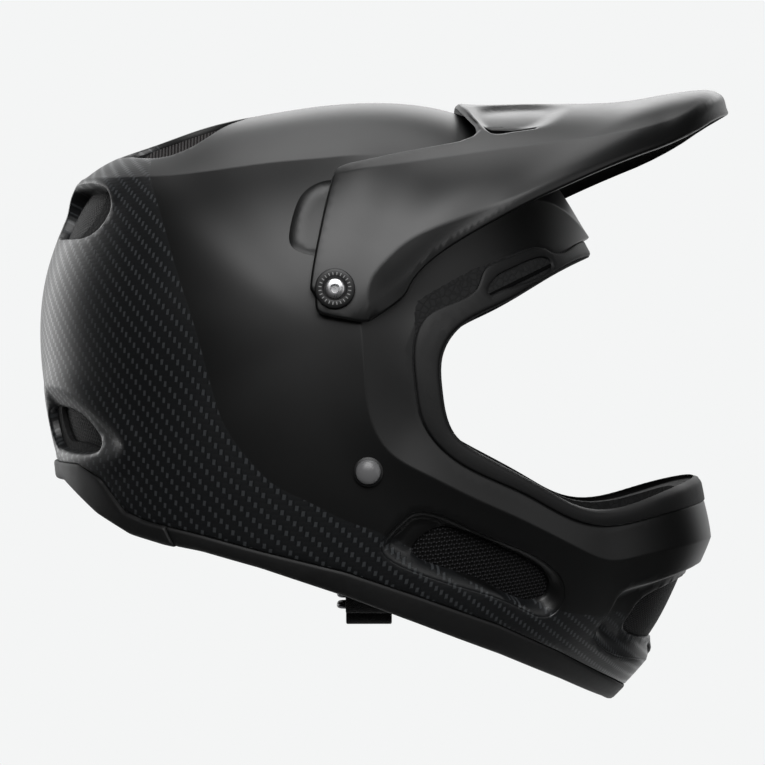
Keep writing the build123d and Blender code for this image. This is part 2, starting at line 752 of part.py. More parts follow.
# Visor, open to the crown between its arms, with an air slot at each side of its hood
bush_hole = visor_bush_radius + running_gap
with BuildPart() as visor:
    add(visor_hull(0))
    add(prism(places(visor_outline_shares), full_depth), mode=Mode.INTERSECT)
    add(visor_hull(visor_wall), mode=Mode.SUBTRACT)
    with BuildSketch(Plane.XZ.offset(-full_depth)):
        with Locations((pivot_x, pivot_z)):
            Circle(bush_hole)
    extrude(amount=2 * full_depth, mode=Mode.SUBTRACT)
    with BuildSketch(Plane.XY.offset(crown_vent_floor)):
        for hand in sides.values():
            with Locations((hood_slot_share[0] * shell_length, hand * hood_slot_share[1] * shell_half_width)):
                SlotOverall(hood_slot_length, hood_slot_width, rotation=-hand * hood_slot_turn)
    extrude(amount=shell_height, mode=Mode.SUBTRACT)
write(visor.part, "visor")

# Visor fasteners: insert behind the shell, bushing that the visor turns on, washer and socket screw
bush_foot = pivot_depth - liner_outer - visor_insert_sink
bush_end = visor_half_width + seat_gap


def pair(label, x, z, start, steps, bore=0, chamfered=0, socket=0):
    """One turned piece at each side of the helmet, in one group."""
    length = sum(step[1] for step in steps)
    with BuildPart() as group:
        for hand in sides.values():
            add(round_stack(x, z, hand, start, steps))
        if chamfered:
            chamfer(group.faces().sort_by(Axis.Y)[0].edges(), chamfered)
            chamfer(group.faces().sort_by(Axis.Y)[-1].edges(), chamfered)
        if bore:
            with BuildSketch(Plane.XZ.offset(-full_depth)):
                with Locations((x, z)):
                    Circle(bore)
            extrude(amount=2 * full_depth, mode=Mode.SUBTRACT)
        if socket:
            for hand in sides.values():
                with BuildSketch(Plane.XZ.offset(-hand * (start + length - socket))):
                    with Locations((x, z)):
                        RegularPolygon(socket_radius, 6)
                extrude(amount=-hand * full_depth, mode=Mode.SUBTRACT)
    write(group.part, label)


screw_bore = screw_shank_radius + screw_gap
pair("visor_inserts", pivot_x, pivot_z, bush_foot - visor_insert_depth,
     [(visor_insert_radius, visor_insert_depth)], bore=screw_bore)
pair("visor_bushings", pivot_x, pivot_z, bush_foot, [(visor_bush_radius, bush_end - bush_foot)], bore=screw_bore)
pair("visor_washers", pivot_x, pivot_z, bush_end, [(visor_washer_radius, visor_washer_thick)], bore=screw_bore,
     chamfered=visor_washer_thick / 3)
screw_start = bush_foot - visor_insert_depth
screw_seat = bush_end + visor_washer_thick
pair("visor_screws", pivot_x, pivot_z, screw_start,
     [(screw_shank_radius, screw_seat - screw_start), (visor_screw_radius, visor_screw_head)],
     chamfered=visor_screw_head / 3, socket=visor_screw_head / 2)

# Strap rivets through the shell, with a ring washer under the dome and a plate inside
rivet_face = rivet_depth + rivet_ring_rise
plate_top = rivet_depth - liner_outer
pair("rivet_rings", rivet_x, rivet_z, rivet_face - rivet_ring_thick, [(rivet_ring_radius, rivet_ring_thick)],
     bore=rivet_shank_radius + screw_gap)
pair("strap_rivets", rivet_x, rivet_z, plate_top - rivet_shank_length,
     [(rivet_shank_radius, rivet_face - plate_top + rivet_shank_length), (rivet_radius, rivet_dome)],
     chamfered=rivet_dome / 2)
pair("rivet_plates", rivet_x, rivet_z, plate_top - rivet_shank_length,
     [(rivet_plate_radius, rivet_plate_thick)], bore=rivet_shank_radius + screw_gap)

# Chin strap: the short end carries the sewn loop of both rings, the long end is threaded through them
half_wire = ring_wire / 2
inner_bar = (ring_bar_depth, lower_run - ring_drop)
outer_bar = (ring_bar_depth + ring_stagger, lower_run - ring_drop - ring_step)
inner_arc = (inner_bar[0] - ring_reach, inner_bar[1])
outer_arc = (outer_bar[0] - ring_reach, outer_bar[1])
clear = half_wire + strap_thick / 2 + ring_clear
sewn_loop = [(outer_bar[0] + clear, lower_run), (inner_bar[0] - clear, inner_bar[1] + clear),
             (inner_bar[0] - clear, outer_bar[1] + half_wire), (outer_bar[0] - half_wire, outer_bar[1] - clear),
             (outer_bar[0] + clear, outer_bar[1] - half_wire), (outer_bar[0] + 3 * clear, lower_run)]
middle_gap = ((inner_arc[0] + outer_arc[0]) / 2, (inner_arc[1] + outer_arc[1]) / 2)
arc_span = math.hypot(ring_stagger, ring_step)
step_y = clear * ring_step / arc_span
step_z = clear * ring_stagger / arc_span
thread = [(outer_arc[0] + clear - strap_thick, lower_run), (outer_arc[0] + clear + strap_thick, lower_run - clear),
          (outer_arc[0] + clear + strap_thick, slack_level + clear),
          (outer_arc[0] + strap_thick, slack_level), (outer_arc[0] - clear, slack_level),
          (outer_arc[0] - 2 * clear, slack_level + clear),
          (middle_gap[0] - step_y, middle_gap[1] - step_z), (middle_gap[0] + step_y, middle_gap[1] + step_z),
          (inner_arc[0] + clear, inner_arc[1] + clear), (-tail_reach, inner_arc[1] + clear)]
mirrored_thread = [(-y, z) for y, z in thread]
with BuildPart() as chin_strap_short:
    add(strap_line(strap_run + [(jaw_depth, lower_run), (outer_bar[0], lower_run)], -1, strap_thick, strap_width,
                   bend_radius))
    add(strap_line(sewn_loop, -1, strap_thick, strap_width, thread_radius))
    with BuildSketch(Plane.XZ):
        with Locations((rivet_x, rivet_z)):
            Circle(rivet_shank_radius + screw_gap)
    extrude(amount=full_depth, both=True, mode=Mode.SUBTRACT)
write(chin_strap_short.part, "chin_strap_short")
with BuildPart() as chin_strap_long:
    add(strap_line(strap_run + [(jaw_depth, lower_run), (0, lower_run)], 1, strap_thick, strap_width, bend_radius))
    add(strap_line([(0, lower_run)] + mirrored_thread, 1, strap_thick, strap_width, thread_radius))
    with BuildSketch(Plane.XZ):
        with Locations((rivet_x, rivet_z)):
            Circle(rivet_shank_radius + screw_gap)
    extrude(amount=full_depth, both=True, mode=Mode.SUBTRACT)
    with BuildSketch(Plane.XY.offset(lower_run - clear * 2)):
        with Locations((rivet_x, snap_depth)):
            Circle(snap_stud_radius + screw_gap)
    extrude(amount=4 * clear, mode=Mode.SUBTRACT)
write(chin_strap_long.part, "chin_strap_long")

# Snap that holds the loose end of the strap
snap_foot = inner_arc[1] + clear - strap_thick / 2
snap_top = lower_run + strap_thick / 2
with BuildPart() as strap_snap:
    with BuildSketch(Plane.XY.offset(snap_foot - snap_cap)):
        with Locations((rivet_x, snap_depth)):
            Circle(snap_radius)
    extrude(amount=snap_cap)
    with BuildSketch(Plane.XY.offset(snap_foot)):
        with Locations((rivet_x, snap_depth)):
            Circle(snap_stud_radius)
    extrude(amount=snap_top - snap_foot)
    with BuildSketch(Plane.XY.offset(snap_top)):
        with Locations((rivet_x, snap_depth)):
            Circle(snap_radius)
    extrude(amount=snap_cap)
write(strap_snap.part, "strap_snap")

# The two rings: a straight bar in the sewn loop, and a round bow that the long end is threaded through
bow_half = ring_inner_width / 2 + half_wire
for name, (bar_depth, level) in {"inner": inner_bar, "outer": outer_bar}.items():
    with BuildSketch(Plane((rivet_x, -bar_depth, level), z_dir=(0, 0, 1))) as ring_face:
        with BuildLine():
            shoulder = (bow_half, ring_reach - ring_bow_rise)
            bow = ThreePointArc(shoulder, (0, ring_reach), (-shoulder[0], shoulder[1]))
            Polyline(bow @ 1, (-shoulder[0], 0), (shoulder[0], 0), bow @ 0)
        make_face()
        fillet(ring_face.vertices(), ring_corner)
    wire_path = ring_face.sketch.face().outer_wire()
    with BuildPart() as d_ring:
        with BuildSketch(Plane(wire_path @ 0, z_dir=wire_path % 0)):
            Circle(half_wire)
        sweep(path=wire_path)
    write(d_ring.part, f"d_ring_{name}")

# Padded sleeves on the strap beside the jaw
for name, hand in sides.items():
    with BuildPart() as strap_sleeve:
        add(jaw_band(sleeve_shares, hand, sleeve_thick, sleeve_width))
        fillet(strap_sleeve.edges(), sleeve_thick / 3)
        add(jaw_band(sleeve_shares, hand, strap_thick + 2 * seat_gap, strap_width + 2 * seat_gap),
            mode=Mode.SUBTRACT)
    write(strap_sleeve.part, f"strap_sleeve_{name}")

# Cheek pads: thick cushions, crowned towards the face, each held by three snaps
cheek_form = [hull(pad_outer), hull(pad_outer + cheek_pad_thick)]
for name, hand in sides.items():
    outline = places(cheek_shares)
    depths = [-hand * share * shell_half_width for share in cheek_depth_shares]
    with BuildPart() as cheek_pad:
        add(lofted_side(depths, [shrunk(outline, factor) for factor in cheek_crown_shares]))
        add(cheek_form[0], mode=Mode.INTERSECT)
        add(cheek_form[1], mode=Mode.SUBTRACT)
        for (x, z), face in zip(snap_places, snap_faces):
            add(round_stack(x, z, hand, face - seat_gap, [(pad_snap_radius + seat_gap, overrun)]),
                mode=Mode.SUBTRACT)
        add(strap_slots.part, mode=Mode.SUBTRACT)
        add(sleeve_rooms.part, mode=Mode.SUBTRACT)
    write(cheek_pad.part, f"cheek_pad_{name}")
    with BuildPart() as pad_snaps:
        for (x, z), face in zip(snap_places, snap_faces):
            add(round_stack(x, z, hand, face, [(pad_snap_radius, snap_seat - seat_gap),
                                               (snap_stud_radius, snap_seat)]))
    write(pad_snaps.part, f"cheek_snaps_{name}")

# Comfort lining: crown, brow and rear pads, and the roll at the nape
pad_form = hull(pad_outer)
pad_face = hull(pad_outer + comfort_pad_thick)
with BuildPart() as slip_pads:
    add(pad_form)
    add(hull(pad_outer + slip_pad_thick), mode=Mode.SUBTRACT)
    with BuildSketch(Plane.XY):
        with Locations([(x * shell_length, y * shell_half_width) for x, y in slip_pad_shares]):
            Circle(slip_pad_radius)
    extrude(amount=shell_height, mode=Mode.INTERSECT)
write(slip_pads.part, "slip_pads")
with BuildPart() as slip_pockets:
    with BuildSketch(Plane.XY):
        with Locations([(x * shell_length, y * shell_half_width) for x, y in slip_pad_shares]):
            Circle(slip_pad_radius + seat_gap)
    extrude(amount=shell_height)
    add(hull(pad_outer + slip_pad_thick + seat_gap), mode=Mode.SUBTRACT)
with BuildPart() as crown_pad:
    add(pad_form)
    with BuildSketch(Plane.XY.offset(crown_pad_floor)):
        with Locations((crown_pad_share * shell_length, 0)):
            RectangleRounded(crown_pad_length, crown_pad_width, crown_pad_corner)
            with Locations([(0, -channel_pitch), (0, 0), (0, channel_pitch)]):
                SlotOverall(channel_length, channel_width, mode=Mode.SUBTRACT)
    extrude(amount=shell_height, mode=Mode.INTERSECT)
    add(pad_face, mode=Mode.SUBTRACT)
    add(slip_pockets.part, mode=Mode.SUBTRACT)
write(crown_pad.part, "crown_pad")
with BuildPart() as brow_pad:
    add(pad_form)
    add(prism(places(brow_pad_shares), full_depth), mode=Mode.INTERSECT)
    add(pad_face, mode=Mode.SUBTRACT)
write(brow_pad.part, "brow_pad")
with BuildPart() as rear_pad:
    add(pad_form)
    add(prism(places(rear_pad_shares), full_depth), mode=Mode.INTERSECT)
    add(pad_face, mode=Mode.SUBTRACT)
write(rear_pad.part, "rear_pad")
with BuildPart() as neck_roll:
    add(pad_form)
    add(prism(places(neck_roll_shares), full_depth), mode=Mode.INTERSECT)
    add(hull(pad_outer + neck_roll_thick), mode=Mode.SUBTRACT)
write(neck_roll.part, "neck_roll")

# Breath guard inside the chin bar
with BuildPart() as breath_guard:
    add(hull(chin_liner_inner + seat_gap))
    add(prism(places(guard_shares), full_depth), mode=Mode.INTERSECT)
    add(hull(chin_liner_inner + seat_gap + guard_thick), mode=Mode.SUBTRACT)
write(breath_guard.part, "breath_guard")
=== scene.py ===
"""Downhill bike full face helmet: shell, visor, trims, vents, strap and lining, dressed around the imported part."""

import math

import bmesh
import bpy
import numpy as np
from bpy.props import FloatProperty, FloatVectorProperty, PointerProperty
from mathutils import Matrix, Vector
from mathutils.geometry import delaunay_2d_cdt


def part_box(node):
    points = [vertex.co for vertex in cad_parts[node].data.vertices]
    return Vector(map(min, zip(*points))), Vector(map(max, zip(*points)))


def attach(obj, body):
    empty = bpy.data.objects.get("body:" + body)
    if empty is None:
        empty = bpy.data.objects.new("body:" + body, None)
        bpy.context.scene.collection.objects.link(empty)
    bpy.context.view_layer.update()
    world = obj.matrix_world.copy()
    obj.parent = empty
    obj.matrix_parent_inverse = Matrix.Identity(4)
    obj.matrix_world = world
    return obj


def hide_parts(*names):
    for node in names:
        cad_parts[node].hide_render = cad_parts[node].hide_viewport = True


bl_info = {
    "name": "Full face helmet",
    "version": (1, 0, 0),
    "blender": (4, 5, 0),
    "location": "3D View > Sidebar > Helmet",
    "description": "Builds a downhill full face helmet around its packed frame",
    "category": "Add Mesh",
}

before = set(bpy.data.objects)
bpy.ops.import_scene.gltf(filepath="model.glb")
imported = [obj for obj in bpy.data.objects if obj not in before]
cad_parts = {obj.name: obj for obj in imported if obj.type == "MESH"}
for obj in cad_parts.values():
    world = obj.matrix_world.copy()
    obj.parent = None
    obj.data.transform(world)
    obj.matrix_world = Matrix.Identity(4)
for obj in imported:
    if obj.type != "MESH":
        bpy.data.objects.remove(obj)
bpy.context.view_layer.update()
MM = 0.001

# The helmet's outline on its middle plane, as shares of its length and height
SHELL_LENGTH = 333.0
SHELL_HEIGHT = 295.0
HULL_SHARES = (
    (0, -0.78), (0.15, -0.78), (0.285, -0.729), (0.375, -0.651), (0.45, -0.569),
    (0.498, -0.502), (0.541, -0.407), (0.566, -0.322), (0.553, -0.21), (0.517, -0.068), (0.456, 0.051),
    (0.393, 0.149), (0.357, 0.229), (0.309, 0.298), (0.246, 0.353), (0.165, 0.388), (0.072, 0.399),
    (-0.024, 0.392), (-0.102, 0.378), (-0.18, 0.359), (-0.258, 0.329), (-0.336, 0.29),
    (-0.375, 0.241), (-0.402, 0.18), (-0.423, 0.108), (-0.432, 0.024), (-0.429, -0.051),
    (-0.42, -0.119), (-0.408, -0.197), (-0.399, -0.298), (-0.372, -0.441), (-0.3, -0.593),
    (-0.165, -0.722),
)
VISOR_HULL_SHARES = (
    (0, -0.475), (0.18, -0.475), (0.33, -0.407), (0.45, -0.271), (0.541, -0.068), (0.595, 0.136),
    (0.619, 0.288), (0.599, 0.383), (0.56, 0.411), (0.456, 0.405), (0.375, 0.398), (0.285, 0.397),
    (0.186, 0.399), (0.09, 0.423), (-0.024, 0.422), (-0.15, 0.396), (-0.285, 0.342), (-0.39, 0.237),
    (-0.438, 0.102), (-0.45, -0.034), (-0.42, -0.203), (-0.33, -0.356), (-0.18, -0.441),
)

# Edge lines in the side view, in millimetres from the middle of the head, back to front or top to bottom
LOWER_LINE = (
    (-160, -57.5), (-119, -60), (-108.5, -66.7), (-95.5, -82.6), (-85, -86.7), (-59, -92.6), (-31, -100),
    (8.7, -109.7), (44, -121.8), (81.6, -135.7), (111, -149.9), (140, -166.4), (173, -190),
)
BOTTOM_LINE = (
    (-160, -68), (-128, -69), (-110, -84), (-93, -93.5), (-76, -98.2), (-59, -101.2), (-31, -108.9),
    (8.7, -122.1), (44, -135.7), (82, -150.7), (111.5, -164), (133, -175), (173, -202),
)
BAND_EDGE = (
    (160, 52), (136.5, 44.3), (111.9, 62), (83.9, 64), (60, 56), (36, 43), (22, 31.9), (16.7, 19.5), (16.7, -1.5),
    (18, -18.6), (21, -38.6), (28.6, -52.2), (48, -64.3), (65.6, -73.2), (89.6, -84.1), (121.5, -100.3),
    (132.9, -104.7), (146.9, -103.5), (162.8, -100.6), (200, -95),
)
TRIM_EDGE = (
    (160, 62), (138, 54), (122, 46.8), (112.5, 41.6), (109, 41.8), (105, 43.9), (101, 44), (89, 39.3), (79.5, 35.6),
    (75.8, 33), (73.6, 28.5), (71.6, 23.5), (67.5, 19.8), (46.6, 8.9),
    (41.6, -3), (42, -21.8), (45.3, -39.5), (59.6, -57.2), (94.2, -74.6), (121.2, -88.2), (133.9, -90.3),
    (156.8, -86.7), (200, -78),
)
EYE_EDGE = (
    (160, 46), (130.9, 41.9), (100.9, 26), (81.3, 15), (62.3, 4.1), (54.6, -8), (54.3, -24.8), (59.9, -45.1),
    (75.3, -56.6), (104.2, -72.3), (122.5, -81.7), (132.5, -83.5), (142.9, -82.6), (162.2, -76.7), (200, -65),
)
CHIN_RECESS = (
    (25.6, -98.2), (33.6, -87.3), (40.6, -82), (49, -82), (68.3, -90), (89.9, -98.8), (104.6, -107.1),
    (111.6, -115.9), (111.2, -126.9), (105.6, -132.2), (90.2, -127.4), (65.9, -118.3), (42, -110.3),
)
CHIN_HOLE = (
    (40.6, -101.8), (48, -93.2), (54.9, -90.6), (62.3, -91.2), (89.9, -103.5), (102.2, -110.9), (107.2, -118.3),
    (105.9, -125.4), (101.6, -127.4), (77.9, -119.2), (53.9, -110.3),
)
FRONT_RECESS = (
    (213, -104.7), (185.1, -109.7), (152.5, -117.7), (139.9, -122.1), (133.9, -131.9), (127.9, -143.1),
    (130.5, -147.5), (149.9, -156.4), (170.2, -161.7), (200, -168.2),
)
FRONT_HOLE = (
    (213, -113.6), (182.2, -118.9), (163.8, -124.8), (153.8, -130.1), (148.2, -137.8), (145.9, -142.8),
    (149.9, -147.2), (159.2, -150.5), (172.2, -153.1), (200, -159.3),
)
BROW_SLOT = (
    (76.9, 21.3), (78.2, 25.5), (82, 29.7), (88.3, 33), (100.9, 38.5), (105.1, 39), (108, 37.7), (108.5, 33.9),
    (104.3, 30.5), (92.5, 25.5), (80.7, 21.3), (77.8, 20.4),
)
BROW_BLADE = ((70, 16), (112, 37))
VISOR_EDGE = (
    (-8.7, 21.2), (2.3, 77), (7.3, 80.8), (18, 82.6), (34.6, 87), (78.3, 96.2), (61.9, 116.8), (61.9, 135), (213, 135),
    (213, 118), (196.1, 112.1), (172.8, 96.5), (138.9, 83.5), (110.6, 70.5), (94.6, 63.1), (73.9, 51.9),
    (56.9, 41.6), (45.6, 32.5), (40, 25.1), (37.6, 18.6), (22, 7.7), (18, 6.2), (-2.3, 10), (-5, 12.4),
    (-4.7, 20.8),
)
HOOD_SLOT = ((75.2, 101.9), (78.1, 103.3), (99.7, 101.6), (100.2, 99.9), (82.9, 97.5), (78.1, 96.6))
HOOD_CHANNEL = (
    (66, 111), (72, 116), (122, 117), (112, 105.5), (102, 99.5), (90, 97.5), (79, 95), (73, 100),
)
REAR_LOWER = ((30, -33), (56, -34.5), (67, -38), (73, -45), (77.5, -52), (73, -55.5), (56, -55.5), (34, -52.5))
REAR_UPPER = (
    (11, 72.5), (40, 73.5), (60, 72), (69, 66), (72, 58), (69, 50.5), (60, 48), (40, 49), (11, 49.5),
)
CROWN_VENT = (
    (20, -41), (36, -50), (48, -58), (55, -66), (57, -76), (53, -85), (45, -92), (32, -99), (18, -104), (11, -100),
    (10, -75), (13, -52),
)
WEAVE_EDGE = (
    (-92, 140), (-86, 96), (-83, 75), (-79, 61), (-72, 37), (-60, 0), (-52, -29), (-47, -42), (-37, -56),
    (-24, -69), (-8, -77), (10, -86), (26, -92), (34, -97), (60, -112), (112, -130), (140, -134), (200, -140),
)
CROWN_CREASE = ((-126, 77), (-108, 76), (-83, 75.5), (-49, 78), (-24, 81), (0, 83), (36, 88))
SIDE_DISH = ((8, 73), (-2, 73), (-11, 68), (-15, 60), (-18, 46), (-16, 41), (-9, 38), (6, 36))
WING_CREASE = ((-2, 74.5), (4.5, 75.5), (48.4, 82.5), (85.9, 88.5), (134, 96.2), (163, 104.5), (178, 112.5), (188, 121))
VISOR_FOLD = (
    (20, 14), (20, 24), (28, 36), (36, 43.5), (56, 53), (90, 66), (127, 81), (176, 100), (205, 112),
)
REAR_DISH = ((30, -22), (52, -22), (70, -27), (84, -38), (90, -50), (86, -58), (70, -58), (30, -56))
RIVET_PLACE = (19.6, -62.8)
SCREW_PLACE = (4.3, 22.1)
SCREW_HOLE = 5.9

# How thick pieces are, how far they stand off or sink into the helmet's form, and the gap between two of them, in
# millimetres
WALL = 2.6
BAND_RISE = 1.8
BAND_FOOT = -3.0
TRIM_RISE = -1.4
COLLAR = 3.2
EDGE_TRIM_LIP = 0.8
BUMPER_RISE = 1.6
EDGE_TRIM_THICK = 14.0
BUMPER_THICK = 17.0
GAP = 0.3
BAND_REACH = (30.0, 24.0)
CROWN_CREASE_RISE = 2.8
CROWN_CREASE_REACH = (32.0, 44.0)
SIDE_DISH_DEPTH = 1.9
SIDE_DISH_SLOPE = 2.4
REAR_START = -60
REAR_RIM_RISE = 1.6
REAR_DISH_DEPTH = 3.8
REAR_DISH_SLOPE = 12.0
REAR_ROOF_RISE = 1.8
REAR_ROOF_SLOPE = 8.0
WING_CREASE_RISE = 2.4
WING_CREASE_REACH = (34.0, 60.0)
TIP_UPTURN = 5.0
BEVEL_DEPTH = 3.4
BEVEL_REACH = 26.0
HOOD_CHANNEL_DEPTH = 4.0
HOOD_CHANNEL_SLOPE = 9.0
HOOD_SHADE_FLOOR_DROP = 6.0
HOOD_SHADE_FLOOR_THICK = 7.2
CROWN_FLOOR_RIM = 2.8
CROWN_FLOOR_DROP = 9.0
CROWN_FLOOR_SLOPE = 7.0
CROWN_FLOOR_THICK = 12.5
GRILLE_DROP = 7.0
GRILLE_THICK = 9.0
BLADE_RISE = 4.5
BLADE_TOP = 0.8
BLADE_FOOT = 2.0
NET_DROP = -6.7
NET_THICK = 7.5
REAR_NET_DROP = -5.0
REAR_NET_THICK = 5.8
FRAME_DROP = 0.45
FRAME_SLOPE = 5.5
FRAME_THICK = 6.4
FRAME_LINES = (0.4, 1.6, 3.0, 4.4, 5.8)
DISH_DROP = 4.6

# Radii of rounded edges in millimetres, and of a place on a turned piece's axis
SHELL_ROUND = 0.8
EYE_ROUND = 2.4
TRIM_ROUND = 1.3
SLOT_ROUND = 1.6
LIP_ROUND = 1.5
BOTTOM_ROUND = 3.0
SEAM_ROUND = 0.8
HOLE_ROUND = 0.8
PEAK_ROUND = 1.3
HOOD_SLOT_ROUND = 1.2
AXIS = 0.0001

# Steps of lines and outlines and a distance beyond the helmet in millimetres, the halvings of a search, and the
# frames that the cloth of a pad takes to swell
FINE = 0.1
LOOP_STEP = 1.0
FAR = 420
HALVINGS = 40
CLOTH_STEPS = 20

# The studio: name, place, size and power of each light in metres and watts, the ambient light's colour, and the
# camera's sensor and distance and the picture's width at the middle plane, all in millimetres
SOFTBOXES = (
    ("top_softbox", (0.1, 0.15, 1.5), (1.6, 1.0), 13),
    ("back_softbox", (0.65, 1.7, 1.15), (2.2, 0.9), 13),
    ("key_softbox", (0.05, -1.8, 1.2), (1.4, 1.6), 38),
    ("front_softbox", (1.5, -1.2, 0.1), (1.1, 1.2), 3.4),
    ("rear_softbox", (-1.6, 1.15, 0.35), (1.3, 1.4), 11),
)
AMBIENT = (0.03, 0.03, 0.03)
SENSOR = 36.0
CAMERA_DISTANCE = 1600
PICTURE_WIDTH = 382.5

# Scale of the paint's orange peel and its depth in metres, pitch of ribs in metres, the height of a row of the net
# as a share of its pitch, and the washer's tick marks
PEEL = 900.0
PEEL_DEPTH = 0.00008
RIB_PITCH = 0.0016
ROW_SHARE = 0.866
TICKS = 24


def spline_places(points, bend, span, pick):
    """Places along a cubic spline, from its points and their bends; pick turns its length into distances."""
    ends = np.concatenate([[0.0], np.cumsum(span)])
    place = pick(ends[-1])
    index = np.clip(np.searchsorted(ends, place, side="right") - 1, 0, len(span) - 1)
    a = ((ends[index + 1] - place) / span[index])[:, None]
    b = 1 - a
    scale = (span[index] ** 2)[:, None] / 6
    return (a * points[index] + b * points[index + 1]
            + ((a ** 3 - a) * bend[index] + (b ** 3 - b) * bend[index + 1]) * scale)


def closed_curve(points, count=2880):
    """Periodic cubic spline through points: each span is the cubic that keeps slope and bend even at both ends."""
    points = np.asarray(points, float)
    rows = np.arange(len(points))
    run = np.roll(points, -1, 0) - points
    span = np.linalg.norm(run, axis=1)
    before = np.roll(span, 1)
    matrix = np.diag(2 * (before + span))
    matrix[rows, rows - 1] += before
    matrix[rows, (rows + 1) % len(points)] += span
    slope = run / span[:, None]
    bend = np.linalg.solve(matrix, 6 * (slope - np.roll(slope, 1, 0)))
    points, bend = (np.vstack([values, values[:1]]) for values in (points, bend))
    return spline_places(points, bend, span, lambda total: np.linspace(0, total, count, endpoint=False))


def open_curve(points, step=0.25):
    """Natural cubic spline through points, sampled at an even step along its chords."""
    points = np.asarray(points, float)
    run = np.diff(points, axis=0)
    span = np.linalg.norm(run, axis=1)
    rows = np.arange(1, len(points) - 1)
    matrix = np.eye(len(points))
    matrix[rows, rows] = 2 * (span[:-1] + span[1:])
    matrix[rows, rows - 1] = span[:-1]
    matrix[rows, rows + 1] = span[1:]
    right = np.zeros_like(points)
    right[rows] = 6 * np.diff(run / span[:, None], axis=0)
    return spline_places(points, np.linalg.solve(matrix, right), span, lambda total: np.arange(0, total, step))


def along(line, pick):
    """Places along a polyline; pick turns its length into distances."""
    ends = np.concatenate([[0.0], np.cumsum(np.linalg.norm(np.diff(line, axis=0), axis=1))])
    place = pick(ends[-1])
    return np.stack([np.interp(place, ends, line[:, k]) for k in range(line.shape[1])], 1)


def straight(points, step=0.25, closed=False):
    """Straight runs between points, sampled at an even step."""
    points = np.asarray(points, float)
    if closed:
        points = np.vstack([points, points[:1]])
    return along(points, lambda total: np.arange(0, total, step))


def rounded(points, turns=3):
    """Closed outline with its corners cut: every side is replaced by its quarter points, a few times over."""
    points = np.asarray(points, float)
    for _ in range(turns):
        after = np.roll(points, -1, 0)
        points = np.stack([0.75 * points + 0.25 * after, 0.25 * points + 0.75 * after], 1).reshape(-1, 2)
    return points


def inside(outline, places):
    """Which places lie inside a closed outline: an odd number of its sides lies to their right."""
    x, z = places[:, 0][:, None], places[:, 1][:, None]
    found = np.zeros(len(places), bool)
    starts, ends = outline, np.roll(outline, -1, 0)
    for low in range(0, len(outline), 400):
        x0, z0 = starts[low:low + 400].T
        x1, z1 = ends[low:low + 400].T
        across = (z0 > z) != (z1 > z)
        rise = np.where(z1 == z0, 1e-9, z1 - z0)
        found ^= (np.sum(across & (x < (x1 - x0) * (z - z0) / rise + x0), axis=1) % 2).astype(bool)
    return found


def distance(places, line):
    """Least distance from each place to a polyline, in any number of dimensions."""
    starts, runs = line[:-1], np.diff(line, axis=0)
    squares = np.maximum(np.sum(runs ** 2, axis=1), 1e-12)
    best = np.full(len(places), np.inf)
    for low in range(0, len(places), 2000):
        offset = places[low:low + 2000, None, :] - starts[None]
        share = np.clip(np.sum(offset * runs[None], axis=2) / squares, 0, 1)
        best[low:low + 2000] = np.sqrt(np.sum((offset - share[..., None] * runs[None]) ** 2, axis=2).min(axis=1))
    return best


def ramp(value, low, high):
    """Smooth step from 0 at low to 1 at high."""
    share = np.clip((value - low) / (high - low), 0, 1)
    return share * share * (3 - 2 * share)


def fall(away, reach):
    """Profile beside a crease: 1 on the crease, flattening out to 0 at its reach."""
    return np.clip(1 - away / reach, 0, 1) ** 2


def edge_round(depth, radius):
    """How far a rounded edge drops at a distance from the edge: a quarter circle."""
    left = np.clip(radius - depth, 0, radius)
    return radius - np.sqrt(radius ** 2 - left ** 2)


